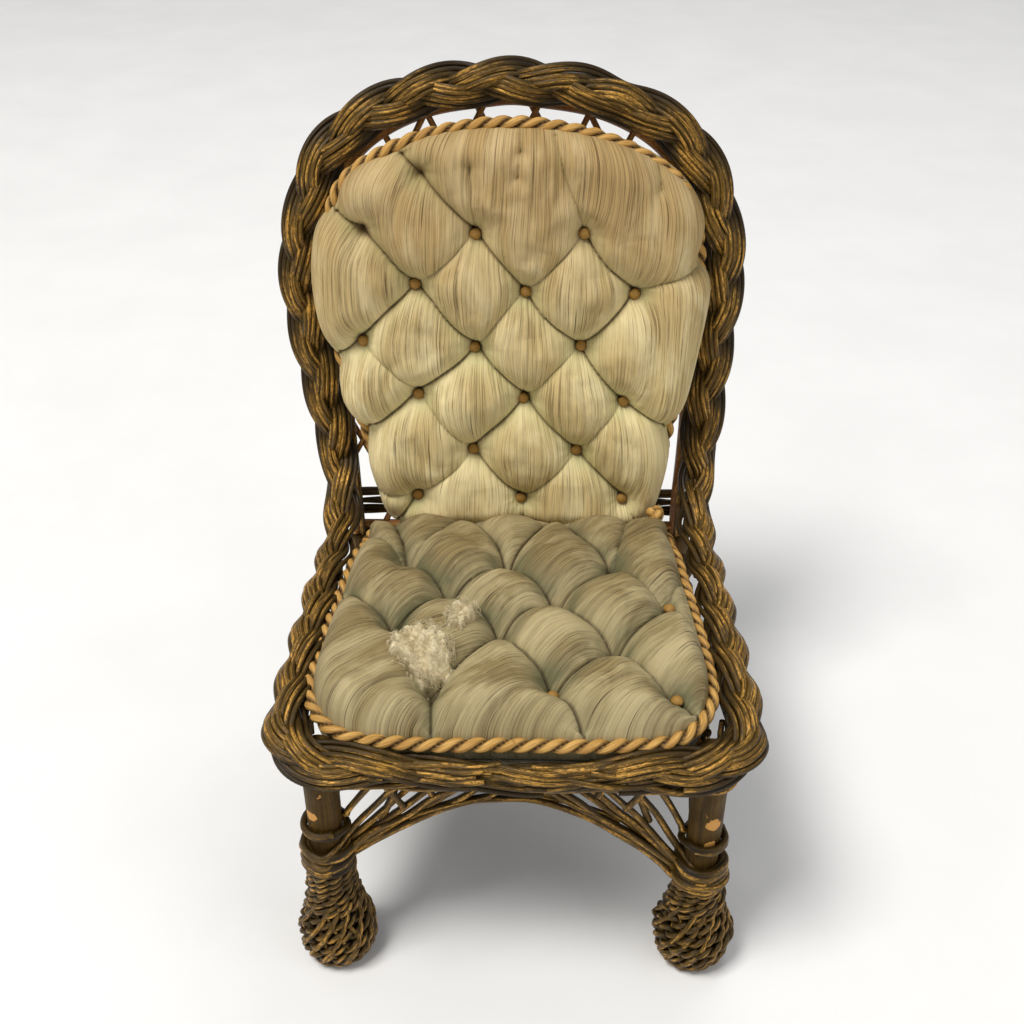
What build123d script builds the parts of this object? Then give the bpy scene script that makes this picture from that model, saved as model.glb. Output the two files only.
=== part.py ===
from build123d import *
import os
from math import cos, pi, radians, sin, tan

# A doll's wicker side chair: four dowel legs in woven feet, reed seat band and arched aprons,
# a bent back hoop with a reed lattice, a three-strand plaited border, and two tufted cushions.
#
# Millimetres. +Z up, +Y towards the back, +X to the right seen from the front.
# The origin is on the floor, under the middle of the chair's bounding box.

# Legs
LEG_RADIUS = 7.5
FRONT_LEG = (82.4, -97.0)
REAR_LEG = (84.5, 83.0)
FRONT_LEG_TOP = 130.5
REAR_LEG_TOP = 134.0

# Woven feet and collars
FOOT_HEIGHT = 60.0
FOOT_NECK_RADIUS = 11.8
FOOT_BALL_RADIUS = 17.5
FOOT_BALL_HEIGHT = 16.0
FOOT_WALL = 3.6
FOOT_LIP_RADIUS = 12.6
FOOT_MOUTH_RADIUS = 9.4
FOOT_WAIST = (13.2, 33.0)
FOOT_NECK_HEIGHT = 46.0
COLLAR_WRAPS = 4
COLLAR_REED_RADIUS = 2.4
COLLAR_RING_RADIUS = 10.8
COLLAR_FIRST_HEIGHT = 63.0
COLLAR_PITCH = 5.2

# Seat frame
RAIL_BOTTOM = 117.0
RAIL_HEIGHT = 6.0
RAIL_DEPTH = 8.0
TENON_RADIUS = 2.4
TENON_LENGTH = 4.4
BOARD_THICKNESS = 3.0
BAND_COURSES = 3
BAND_REED_RADIUS = 2.3
BAND_FIRST_HEIGHT = 118.4
BAND_PITCH = 4.9
REED_RADIUS = 1.25
BAND_STAKE_SPACING = 22.0
FRONT_BORDER_REEDS = 3
FRONT_BORDER_HEIGHT = 133.2
FRONT_BORDER_RISE = 2.6
FRONT_BORDER_STEP = 1.3
FRONT_BORDER_HALF_SPAN = 68.0
FIT_GAP = 0.15

# Aprons
APRON_TOP = 103.0
APRON_END = 62.0
APRON_REEDS = 3
APRON_REED_RADIUS = 1.5
STRUT_RADIUS = 1.3
STRUT_DEPTH = 1.5
# Each strut: its foot and head as shares of the half span, and whether it stands in front or behind
STRUTS = ((0.70, 0.86, 1), (0.86, 0.72, -1), (0.52, 0.62, 1))

# Back: a plane that leans back from the rear of the seat
RECLINE = 7.8
BACK_FOOT_Y = 75.6
BACK_FOOT_Z = 141.8
BACK_TOP = 206.6
SIDE_HALF_WIDTH = 101.0
SIDE_LEAN = 4.0
CROWN_SLOPE = 25.0
CROWN_RADIUS = 160.0
SHOULDER_RADIUS = 50.0
HOOP_RADIUS = 3.5
HOOP_INSET = 10.5
HOOP_SETBACK = 8.5
HOOP_FOOT = -17.0
LATTICE_DEPTH = 6.6
LATTICE_SPACING = 25.0
LATTICE_SLOPE = 62.0
LATTICE_MIDDLE = 96.0
LATTICE_REACH = 190.0
LATTICE_FOOT = 8.2
SHORTEST_LATTICE_REED = 12.0
LOWER_RAIL_LEVEL = 4.0
LOWER_RAIL_RADIUS = 2.5
SIDE_STAKE_FOOT = (74.0, -5.0)
SIDE_STAKE_HEAD = (83.0, 72.0)
SIDE_STAKE_LEVEL = -2.4

# Plaited border
BORDER_HEIGHT = 138.0
BORDER_FRONT_X = 97.0
BORDER_END = (77.0, -103.5)
BORDER_REAR_X = 91.0
STRAND_RADIUS = 2.7
PLAIT_HALF_WIDTH = 6.6
PLAIT_HALF_DEPTH = 4.5
PLAIT_PERIODS = 8

# Cushions
SEAT_FRONT_Y = -106.0
SEAT_REAR_Y = 52.0
SEAT_CORD_HEIGHT = 138.5
EDGE_CORD_RADIUS = 3.1
SEAT_CUSHION_TOP = 151.0
BACK_CUSHION_DEPTH = 24.0
BACK_CORD_LEVEL = 9.5
BACK_LINING_LEVEL = -4.4
LINING_THICKNESS = 0.8
BACK_CUSHION_LEVEL = BACK_LINING_LEVEL + LINING_THICKNESS + 2 * FIT_GAP
CUSHION_INSET = 2.5
BUTTON_RADIUS = 2.7
BUTTON_HEIGHT = 1.9
TUFT_PITCH = 52.0
TUFT_ROW_PITCH = 26.9
TUFT_FIRST_ROW = 6.0
TUFT_SHIFT = 2.5
# Back buttons, row by row from the seat up, as multiples of the pitch
TUFT_ROWS = ((-1, 0, 1), (-0.5, 0.5), (-1, 0, 1), (-1.5, -0.5, 0.5), (-1, 0, 1), (-0.5, 0.5))
SEAT_BUTTON_PLACES = ((15.5, -78.0), (66.0, -80.0), (66.0, -22.0))
KNOT_PLACE = (73.5, 60.0, 137.0)
KNOT_RADIUS = 4.2

SIDES = {"left": -1, "right": 1}
BACK = Plane(
    origin=(0, BACK_FOOT_Y, BACK_FOOT_Z),
    x_dir=(1, 0, 0),
    z_dir=(0, -cos(radians(RECLINE)), sin(radians(RECLINE))),
)
BOARD_TOP = RAIL_BOTTOM + RAIL_HEIGHT + BOARD_THICKNESS
ROD_ALIGN = (Align.CENTER, Align.CENTER, Align.MIN)


def save(name, *solids):
    """Write one named node: a single solid, or a group of separate ones."""
    shape = solids[0] if len(solids) == 1 else Compound(children=list(solids))
    export_step(shape, f"parts/{name}.step")


def tube(path, radius):
    """A round rod along a path."""
    start = Plane(origin=path @ 0, z_dir=path % 0)
    return sweep(start * Circle(radius), path=path)


def rod(start, end, radius):
    """A straight round rod between two points."""
    axis = Vector(*end) - Vector(*start)
    return Plane(origin=start, z_dir=axis) * Cylinder(radius, axis.length, align=ROD_ALIGN)


def mirrored(points):
    """Right-hand points, bottom to top, then the same points mirrored back down."""
    return points + [(-x, *rest) for x, *rest in reversed(points) if x > 0]


def bend_radii(points):
    """For each inner point, a tangent arc as large as its two runs allow."""
    radii = []
    for before, here, after in zip(points, points[1:], points[2:]):
        run_in = Vector(*here) - Vector(*before)
        run_out = Vector(*after) - Vector(*here)
        half_turn = radians(run_in.get_angle(run_out)) / 2
        radii.append(0.45 * min(run_in.length, run_out.length) / tan(half_turn))
    return radii


# ---------------------------------------------------------------- legs, feet, collars


def leg_places():
    """Each leg's name, its (x, y) place and its top."""
    for side, sign in SIDES.items():
        yield f"front_{side}", (sign * FRONT_LEG[0], FRONT_LEG[1]), FRONT_LEG_TOP
        yield f"rear_{side}", (sign * REAR_LEG[0], REAR_LEG[1]), REAR_LEG_TOP


def leg(place, top):
    """A plain dowel from the floor, with its foot's edge rounded a little."""
    dowel = Pos(*place, 0) * Cylinder(LEG_RADIUS, top, align=ROD_ALIGN)
    return chamfer(dowel.edges().group_by(Axis.Z)[0], 0.6)


def foot_weave(place):
    """A woven sleeve round the leg that swells into a hollow ball at the floor."""
    bore = LEG_RADIUS + FIT_GAP
    lip, mouth = (FOOT_LIP_RADIUS, 0), (FOOT_MOUTH_RADIUS, 0)
    neck = (FOOT_NECK_RADIUS, FOOT_NECK_HEIGHT)
    outer_top, inner_top = (FOOT_NECK_RADIUS, FOOT_HEIGHT), (bore, FOOT_HEIGHT)
    inner_waist = (bore, FOOT_WAIST[1] + 3.0)
    profile = Plane.XZ * make_face(
        [
            Line(mouth, lip),
            ThreePointArc(lip, (FOOT_BALL_RADIUS, FOOT_BALL_HEIGHT), FOOT_WAIST),
            Polyline(FOOT_WAIST, neck, outer_top, inner_top, inner_waist),
            ThreePointArc(inner_waist, (FOOT_BALL_RADIUS - FOOT_WALL, FOOT_BALL_HEIGHT), mouth),
        ]
    )
    return Pos(*place, 0) * revolve(profile, Axis.Z)


def collar(place):
    """Reed wraps that lash the apron arches to the leg."""
    ring = Torus(COLLAR_RING_RADIUS, COLLAR_REED_RADIUS)
    heights = [COLLAR_FIRST_HEIGHT + COLLAR_PITCH * n for n in range(COLLAR_WRAPS)]
    return [Pos(*place, height) * ring for height in heights]


# ---------------------------------------------------------------- seat frame


def rail_ends():
    """Each rail's name and the two legs that it joins."""
    corners = {name: place for name, place, _ in leg_places()}
    yield "front", corners["front_left"], corners["front_right"]
    yield "rear", corners["rear_left"], corners["rear_right"]
    yield "left", corners["front_left"], corners["rear_left"]
    yield "right", corners["front_right"], corners["rear_right"]


def side_frame(start, end):
    """A plane on one side of the chair, x along the side, y up and z outwards, and its length."""
    axis = Vector(*end) - Vector(*start)
    outward = Vector(axis.Y, -axis.X, 0).normalized()
    middle = Vector(*start) + axis / 2
    if outward.dot(middle) < 0:
        outward = -outward
        axis = -axis
    return Plane(origin=(middle.X, middle.Y, 0), x_dir=axis, z_dir=outward), axis.length


def rail(start, end):
    """A flat rail between two legs, with a round tenon at each end."""
    height = RAIL_BOTTOM + RAIL_HEIGHT / 2
    axis = Vector(*end) - Vector(*start)
    frame = Plane(origin=(*start, height), x_dir=axis, z_dir=(0, 0, 1))
    shoulder = LEG_RADIUS + FIT_GAP
    length = axis.length - 2 * shoulder
    bar = Pos(axis.length / 2, 0, 0) * Box(length, RAIL_DEPTH, RAIL_HEIGHT)
    tenons = Cylinder(TENON_RADIUS, length + 2 * TENON_LENGTH)
    tenons = Pos(axis.length / 2, 0, 0) * Rot(0, 90, 0) * tenons
    hollow = [Pos(x, 0, 0) * Cylinder(shoulder, RAIL_HEIGHT * 2) for x in (0, axis.length)]
    return frame * ((bar - hollow) + tenons)


def leg_with_sockets(place, top, parts):
    """The leg, drilled for its rails' tenons and, at the back, for the hoop."""
    body = leg(place, top)
    for part in parts:
        body -= part
    return body


def seat_outline():
    """The seat cushion's edge, wide in front and narrow at the back."""
    points = [(85.0, SEAT_FRONT_Y), (84.3, -46.0), (69.0, SEAT_REAR_Y)]
    radii = [36.0, 80.0, 15.0]
    return FilletPolyline(*mirrored(points), radius=radii + radii[::-1], close=True)


def seat_face(inset):
    """The seat cushion's plan shape, drawn in from its edge."""
    return offset(make_face(seat_outline()), -inset)


def seat_board():
    """Thin board that rests on the rails, notched round the legs."""
    reach = RAIL_DEPTH / 2
    corners = [
        (FRONT_LEG[0] + reach, FRONT_LEG[1] - reach),
        (REAR_LEG[0] + reach, REAR_LEG[1] + reach),
    ]
    outline = Polyline(*mirrored(corners), close=True)
    board = extrude(Pos(0, 0, RAIL_BOTTOM + RAIL_HEIGHT) * make_face(outline), BOARD_THICKNESS)
    for _, place, _ in leg_places():
        board -= Pos(*place, BOARD_TOP) * Cylinder(LEG_RADIUS + FIT_GAP, 4 * BOARD_THICKNESS)
    return board


def band_outline(growth):
    """Rounded outline that wraps round the outside of the four legs."""
    reach = LEG_RADIUS + growth
    points = [
        (FRONT_LEG[0] + reach, FRONT_LEG[1] - reach),
        (REAR_LEG[0] + reach, REAR_LEG[1] + reach),
        (-REAR_LEG[0] - reach, REAR_LEG[1] + reach),
        (-FRONT_LEG[0] - reach, FRONT_LEG[1] - reach),
    ]
    return FilletPolyline(*points, radius=reach, close=True)


def band_heights():
    return [BAND_FIRST_HEIGHT + BAND_PITCH * n for n in range(BAND_COURSES)]


def band_course(height):
    """One course of twined reeds round the whole seat."""
    return tube(Pos(0, 0, height) * band_outline(BAND_REED_RADIUS + FIT_GAP), BAND_REED_RADIUS)


def band_stakes():
    """Short upright reeds inside the band, between the legs on all four sides."""
    bottom = band_heights()[0] - BAND_REED_RADIUS
    inner = LEG_RADIUS - REED_RADIUS - FIT_GAP
    stake = Cylinder(REED_RADIUS, BOARD_TOP - bottom, align=ROD_ALIGN)
    stakes = []
    for _, start, end in rail_ends():
        frame, length = side_frame(start, end)
        count = int(length / BAND_STAKE_SPACING)
        for n in range(1, count):
            foot = frame.from_local_coords(Vector((n / count - 0.5) * length, bottom, inner))
            stakes.append(Pos(foot) * stake)
    return stakes


def front_border_reeds():
    """Ends of the plait's reeds, which cross the front from corner to corner above the band."""
    reeds = []
    half = FRONT_BORDER_HALF_SPAN
    for n in range(FRONT_BORDER_REEDS):
        z = FRONT_BORDER_HEIGHT + n * FRONT_BORDER_RISE
        y = SEAT_FRONT_Y - 2.7 - n * FRONT_BORDER_STEP
        points = mirrored([(half, y + 2.0, z - 1.2), (half / 2, y - 0.4, z - 0.3), (0, y, z)])
        reeds.append(tube(FilletPolyline(*points, radius=bend_radii(points)), REED_RADIUS))
    return reeds


# ---------------------------------------------------------------- aprons


def apron_height(x, half_span, rise):
    """The height of the lowest reed's centre at x, on an arc through both ends."""
    radius = (half_span**2 + rise**2) / (2 * rise)
    return APRON_END + rise - radius + (radius**2 - x**2) ** 0.5


def apron_arch(frame, half_span):
    """Three bent reeds, one over the other, from leg to leg."""
    reeds = []
    for n in range(APRON_REEDS):
        lift = n * (2 * APRON_REED_RADIUS + 0.3)
        ends = APRON_END + lift
        path = ThreePointArc((-half_span, ends), (0, APRON_TOP + lift), (half_span, ends))
        reeds.append(tube(frame * path, APRON_REED_RADIUS))
    return reeds


def apron_struts(frame, half_span):
    """Crossing props in the corners between the arch and the seat band."""
    rise = APRON_TOP - APRON_END
    stack = APRON_REEDS * (2 * APRON_REED_RADIUS + 0.3)
    top = BAND_FIRST_HEIGHT - BAND_REED_RADIUS
    struts = []
    for sign in (-1, 1):
        for foot, head, layer in STRUTS:
            depth = layer * STRUT_DEPTH
            low = sign * foot * half_span
            base = apron_height(low, half_span, rise) + stack
            start = frame.from_local_coords(Vector(low, base, depth))
            end = frame.from_local_coords(Vector(sign * head * half_span, top, depth))
            struts.append(rod(start, end, STRUT_RADIUS))
    return struts


# ---------------------------------------------------------------- back


def back_outline(inset, foot):
    """Corner points of an arched outline in the back plane, and their radii."""
    half_width = SIDE_HALF_WIDTH - inset
    apex = BACK_TOP - inset + (CROWN_RADIUS - inset) * (1 / cos(radians(CROWN_SLOPE)) - 1)
    shoulder = apex - half_width * tan(radians(CROWN_SLOPE))
    lean = tan(radians(SIDE_LEAN)) * (105.0 - foot)
    points = [(half_width - lean, foot), (half_width, 105.0), (half_width - 0.5, shoulder), (0.0, apex)]
    side_radii = [150.0, SHOULDER_RADIUS - inset]
    return mirrored(points), side_radii + [CROWN_RADIUS - inset] + side_radii[::-1]


def back_hoop_path(foot):
    """The hoop's centreline, behind the border and a little inside it."""
    points, radii = back_outline(HOOP_INSET, foot)
    flat = FilletPolyline(*points, radius=radii)
    return BACK.offset(-HOOP_SETBACK) * flat


def back_hoop():
    """A bent rod whose feet stand in the rear legs."""
    return tube(back_hoop_path(HOOP_FOOT), HOOP_RADIUS)


def back_lower_rail():
    """A thin rod across the foot of the back, between the hoop's legs."""
    corners, _ = back_outline(HOOP_INSET + HOOP_RADIUS + FIT_GAP, LOWER_RAIL_LEVEL)
    half = corners[0][0]
    ends = [Vector(x, LOWER_RAIL_LEVEL, -HOOP_SETBACK) for x in (-half, half)]
    return rod(*[BACK.from_local_coords(end) for end in ends], LOWER_RAIL_RADIUS)


def lattice_field():
    """The area that the lattice fills, up to the hoop's inner edge and down to the lower rail."""
    points, radii = back_outline(HOOP_INSET + HOOP_RADIUS + FIT_GAP, LATTICE_FOOT)
    arch = FilletPolyline(*points, radius=radii)
    return make_face([arch, Line(points[-1], points[0])])


def back_lattice(lean, depth):
    """Parallel reeds that all lean the same way, cut off at the hoop."""
    field = extrude(BACK.offset(-depth) * lattice_field(), REED_RADIUS, both=True)
    slope = radians(LATTICE_SLOPE)
    run = Vector(cos(slope) * lean, sin(slope), 0) * LATTICE_REACH
    smallest = pi * REED_RADIUS**2 * SHORTEST_LATTICE_REED
    reeds = []
    for n in range(-7, 8):
        middle = Vector((n + 0.25) * LATTICE_SPACING, LATTICE_MIDDLE, -depth)
        ends = [BACK.from_local_coords(middle - run), BACK.from_local_coords(middle + run)]
        pieces = (rod(*ends, REED_RADIUS) & field).solids()
        reeds.extend(piece for piece in pieces if piece.volume > smallest)
    return reeds


def side_stake(sign):
    """A thin upright between the hoop's foot and the cushion, on each side of the back."""
    ends = [Vector(sign * x, t, SIDE_STAKE_LEVEL) for x, t in (SIDE_STAKE_FOOT, SIDE_STAKE_HEAD)]
    return rod(*[BACK.from_local_coords(end) for end in ends], REED_RADIUS)


# ---------------------------------------------------------------- plaited border


def border_half_path():
    """The border's centreline from its front end to the top of the back, on the right."""
    lift = (BORDER_HEIGHT - BACK_FOOT_Z) / cos(radians(RECLINE))
    heel = BACK.from_local_coords(Vector(BORDER_REAR_X, lift, 0))
    corners, radii = back_outline(0.0, 60.0)
    upper = [BACK.from_local_coords(Vector(x, t, 0)) for x, t in corners[:4]]
    points = [
        (*BORDER_END, BORDER_HEIGHT),
        (BORDER_FRONT_X, -102.0, BORDER_HEIGHT),
        (BORDER_FRONT_X, -40.0, BORDER_HEIGHT),
        tuple(heel),
        *[tuple(point) for point in upper],
    ]
    return points, [18.0, 150.0, 26.0, 150.0, 150.0, SHOULDER_RADIUS]


def border_path():
    """The whole centreline, from the front right corner over the back to the front left."""
    half, radii = border_half_path()
    return FilletPolyline(*mirrored(half), radius=radii + [CROWN_RADIUS] + radii[::-1])


def border_frame(path, distance):
    """A point of the centreline with its width and face directions."""
    point, along = path @ distance, path % distance
    on_back = point.Z > BORDER_HEIGHT + 40.0
    face = BACK.z_dir if on_back else Vector(1, 0, 0).cross(along).normalized()
    if face.Z < 0:
        face = -face
    return point, along.cross(face).normalized(), face


def border_strand(path, turn):
    """One strand of the plait: out to one edge under its neighbour, back to the other over it."""
    quarters = PLAIT_PERIODS * 4
    points = []
    for n in range(-4, quarters + 1):
        share = (n + turn * 4) / quarters
        if not 0.0 <= share <= 1.0:
            continue
        point, across, face = border_frame(path, share)
        side = 1 if n % 4 < 2 else -1
        depth = 1 if n % 2 == 0 else -1
        points.append(point + across * (side * PLAIT_HALF_WIDTH) + face * (depth * PLAIT_HALF_DEPTH))
    corners = [tuple(point) for point in points]
    return tube(FilletPolyline(*corners, radius=bend_radii(corners)), STRAND_RADIUS)


# ---------------------------------------------------------------- cushions


def level_edges(solid):
    """The edges of an upright prism's top and bottom."""
    return solid.edges().filter_by(lambda edge: abs(edge.bounding_box().size.Z) < 0.01)


def seat_cushion():
    """A plump pad: rounded all round, resting on its lining."""
    base = BOARD_TOP + LINING_THICKNESS + 2 * FIT_GAP
    blank = extrude(Pos(0, 0, base) * seat_face(CUSHION_INSET), SEAT_CUSHION_TOP - base)
    return fillet(level_edges(blank), 8.0)


def seat_cushion_lining():
    """Thin cloth under the seat cushion."""
    return extrude(Pos(0, 0, BOARD_TOP + FIT_GAP) * seat_face(10.0), LINING_THICKNESS)


def seat_edge_cord():
    """Twisted edging sewn round the seat cushion."""
    return tube(Pos(0, 0, SEAT_CORD_HEIGHT) * seat_outline(), EDGE_CORD_RADIUS)


def back_face(inset):
    """The back cushion's front shape, narrow at the seat, wide at the shoulders, arched on top."""
    return make_face(back_edge(inset))


def back_edge(inset):
    """The outline of that shape, drawn in by an inset."""
    half_width, shoulder, slope = 90.5 - inset, 168.0 - 0.65 * inset, radians(24.0)
    points = [
        (66.0 - inset, inset - 8.0),
        (half_width, 105.0),
        (half_width, shoulder),
        (0.0, shoulder + half_width * tan(slope)),
    ]
    radii = [11.0, 120.0, 44.0 - inset]
    return FilletPolyline(*mirrored(points), radius=radii + [155.0 - inset] + radii[::-1], close=True)


def back_cushion():
    """A plump pad that leans on the back lattice."""
    blank = extrude(back_face(CUSHION_INSET), BACK_CUSHION_DEPTH)
    return BACK.offset(BACK_CUSHION_LEVEL) * fillet(level_edges(blank), 7.5)


def back_cushion_lining():
    """Thin cloth behind the back cushion."""
    return extrude(BACK.offset(BACK_LINING_LEVEL) * back_face(8.0), LINING_THICKNESS)


def back_edge_cord():
    """Twisted edging sewn round the back cushion."""
    return tube(BACK.offset(BACK_CORD_LEVEL) * back_edge(0.0), EDGE_CORD_RADIUS)


def button():
    """A small covered button: the cap of a ball, flat underneath."""
    ball_radius = (BUTTON_RADIUS**2 + BUTTON_HEIGHT**2) / (2 * BUTTON_HEIGHT)
    ball = Pos(0, 0, BUTTON_HEIGHT - ball_radius) * Sphere(ball_radius)
    return ball & Pos(0, 0, ball_radius) * Box(*[2 * ball_radius] * 3)


def back_buttons():
    """Buttons in staggered rows down the back."""
    face = BACK.offset(BACK_CUSHION_LEVEL + BACK_CUSHION_DEPTH + FIT_GAP)
    buttons = []
    for row, columns in enumerate(TUFT_ROWS):
        for column in columns:
            x = column * TUFT_PITCH + TUFT_SHIFT
            t = TUFT_FIRST_ROW + row * TUFT_ROW_PITCH
            buttons.append(face * Pos(x, t, 0) * button())
    return buttons


def seat_buttons():
    """The three buttons that the seat still has."""
    top = SEAT_CUSHION_TOP + FIT_GAP
    return [Pos(x, y, top) * button() for x, y in SEAT_BUTTON_PLACES]


def cord_knot():
    """The frayed knot where the back edging ends, at the right foot of the back."""
    return Pos(*KNOT_PLACE) * Sphere(KNOT_RADIUS)


# ---------------------------------------------------------------- write every node


def main():
    os.makedirs("parts", exist_ok=True)
    rails = {name: rail(start, end) for name, start, end in rail_ends()}
    hoop = back_hoop()
    for name, place, top in leg_places():
        row, side = name.split("_")
        sockets = [rails[row], rails[side]] + ([hoop] if row == "rear" else [])
        save(f"{name}_leg", leg_with_sockets(place, top, sockets))
        save(f"{name}_foot_weave", foot_weave(place))
        save(f"{name}_leg_collar", *collar(place))
    for name, solid in rails.items():
        save(f"{name}_seat_rail", solid)
    save("seat_board", seat_board())
    for n, height in enumerate(band_heights(), 1):
        save(f"seat_band_course_{n}", band_course(height))
    save("seat_band_stakes", *band_stakes())
    save("front_border_reeds", *front_border_reeds())
    for name, start, end in rail_ends():
        frame, length = side_frame(start, end)
        half_span = length / 2 - COLLAR_RING_RADIUS - COLLAR_REED_RADIUS - APRON_REED_RADIUS
        save(f"{name}_apron_arch", *apron_arch(frame, half_span))
        save(f"{name}_apron_struts", *apron_struts(frame, half_span))
    save("back_hoop", hoop)
    save("back_lower_rail", back_lower_rail())
    save("back_lattice_right_lean", *back_lattice(1, LATTICE_DEPTH))
    save("back_lattice_left_lean", *back_lattice(-1, LATTICE_DEPTH + 2 * REED_RADIUS + 0.2))
    path = border_path()
    for letter, turn in (("a", 0), ("b", 1 / 3), ("c", 2 / 3)):
        save(f"border_strand_{letter}", border_strand(path, turn))
    for side, sign in SIDES.items():
        save(f"{side}_side_stake", side_stake(sign))
    save("seat_cushion", seat_cushion())
    save("seat_cushion_lining", seat_cushion_lining())
    save("seat_edge_cord", seat_edge_cord())
    save("seat_buttons", *seat_buttons())
    save("back_cushion", back_cushion())
    save("back_cushion_lining", back_cushion_lining())
    save("back_edge_cord", back_edge_cord())
    save("back_buttons", *back_buttons())
    save("cord_knot", cord_knot())


main()
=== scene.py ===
import math

import bpy
import numpy as np
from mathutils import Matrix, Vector


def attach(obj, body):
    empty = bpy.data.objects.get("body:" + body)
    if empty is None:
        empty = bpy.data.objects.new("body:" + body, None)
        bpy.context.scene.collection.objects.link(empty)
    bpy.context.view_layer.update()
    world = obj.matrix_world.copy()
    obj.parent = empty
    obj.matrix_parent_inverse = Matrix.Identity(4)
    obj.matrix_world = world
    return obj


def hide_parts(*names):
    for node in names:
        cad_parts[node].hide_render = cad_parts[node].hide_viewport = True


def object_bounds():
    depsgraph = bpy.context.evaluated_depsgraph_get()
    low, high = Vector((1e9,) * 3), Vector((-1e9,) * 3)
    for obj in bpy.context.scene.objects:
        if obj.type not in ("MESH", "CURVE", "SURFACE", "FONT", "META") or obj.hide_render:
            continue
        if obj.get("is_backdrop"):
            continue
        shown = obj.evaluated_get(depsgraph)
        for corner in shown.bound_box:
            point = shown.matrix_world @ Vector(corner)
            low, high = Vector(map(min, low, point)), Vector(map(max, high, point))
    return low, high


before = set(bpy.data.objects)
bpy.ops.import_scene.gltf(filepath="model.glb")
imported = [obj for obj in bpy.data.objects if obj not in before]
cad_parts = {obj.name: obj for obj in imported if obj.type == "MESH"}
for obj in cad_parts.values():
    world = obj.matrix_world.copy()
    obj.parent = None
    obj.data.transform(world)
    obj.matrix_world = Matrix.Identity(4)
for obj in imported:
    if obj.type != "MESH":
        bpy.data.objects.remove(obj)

# The looks of a doll's wicker chair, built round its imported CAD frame.
# Lengths are millimetres until a mesh is made, in the CAD's own axes: +X right, +Y back, +Z up.

CAD_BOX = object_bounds()
MM = 0.001
RNG = np.random.default_rng(7)
FULL_TURN = 2 * math.pi

# Legs and feet
LEGS = {
    "front_left": (-82.4, -97.0),
    "front_right": (82.4, -97.0),
    "rear_left": (-84.5, 83.0),
    "rear_right": (84.5, 83.0),
}
LEG_RADIUS = 7.5
REAR_LEG_TOP = 113.0
RAIL_LEVEL = 110.0
RAIL_RADIUS = 2.8
FRONT_RAIL_LIFT = 14.0
BOARD_BOTTOM = 123.0
LOWER_RAIL_LEVEL = 117.5
LOWER_RAIL_Y = 81.0
LOWER_RAIL_RADIUS = 2.2
FOOT_HEIGHTS = (0.0, 5.0, 10.0, 16.0, 22.0, 28.0, 34.0, 44.0, 54.0, 60.0)
FOOT_RADII = (12.6, 15.6, 17.4, 18.0, 17.2, 15.0, 13.0, 11.4, 11.0, 11.4)
COLLAR_HEIGHTS = (62.4, 65.4, 68.4, 71.4, 74.2)
COLLAR_DROPS = {"front_left": 0.5, "front_right": 9.0}
COLLAR_RADIUS = 9.1
COLLAR_TURNS = 1.15
TWIST_LENGTH = 11.0
TWIST_POINTS = 12
STAKE_COUNT = 12
STAKE_TOP = 40.0

# Seat band and aprons
BAND_HEIGHTS = (118.8, 124.4, 130.0)
BAND_CLEARANCE = 2.5
APRON_TOP = 101.0
APRON_ENDS = {"front": (62.0, 51.0), "rear": (62.0, 64.0), "left": (62.0, 61.0), "right": (53.0, 62.0)}

# Back plane: x to the right, t up the back, n out of its front
RECLINE = math.radians(7.8)
BACK_FOOT = np.array([0.0, 75.6, 141.8])
BACK_UP = np.array([0.0, math.sin(RECLINE), math.cos(RECLINE)])
BACK_OUT = np.array([0.0, -math.cos(RECLINE), math.sin(RECLINE)])
BACK_LEAN = -4.0
BACK_LEAN_HEIGHT = 100.0

# Plaited border
BORDER_HEIGHT = 138.0
BORDER_SIDE_X = 95.5
PLAIT_PERIOD = 90.0
PLAIT_SWING = 5.2
PLAIT_DEPTH = 3.3
PLAIT_REEDS = 5
PLAIT_REED_PITCH = 2.1
PLAIT_REED_RADIUS = 1.4
PLAIT_JOIN_X = 45.0

# Cushions
CORD_TWIST = 16.8
SEAT_CORD_HEIGHT = 139.5
BACK_CORD_LEVEL = 9.5
CUSHION_INSET = 1.8
CUSHION_TOP_RINGS = 129
CUSHION_SIDE_RINGS = 12
SIM_STRIDE = 3
CREASE_BLEND = 2.6
CREASE_WANDER = 1.8
CROWN_REACH = 95.0
REAR_FALL_LENGTH = 55.0
SETTLE_LIMIT = 1.8


# ---------------------------------------------------------------- curves


def unit(v):
    return v / np.linalg.norm(v, axis=-1, keepdims=True)


def even(line, step, closed=False):
    """The same line with its points an even distance apart."""
    line = np.asarray(line, float)
    if closed:
        line = np.vstack([line, line[:1]])
    reach = path_length(line)
    count = max(3, int(round(reach[-1] / step)) + 1)
    places = np.linspace(0.0, reach[-1], count)
    if closed:
        places = places[:-1]
    return np.stack([np.interp(places, reach, column) for column in line.T], axis=1)


def straight(start, end, count):
    """Even points from one place to another."""
    start, end = np.asarray(start, float), np.asarray(end, float)
    return start + (end - start) * np.linspace(0.0, 1.0, count)[:, None]


def path_length(path):
    """How far along the path each point is."""
    return np.concatenate([[0.0], np.cumsum(np.linalg.norm(np.diff(path, axis=0), axis=1))])


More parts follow.
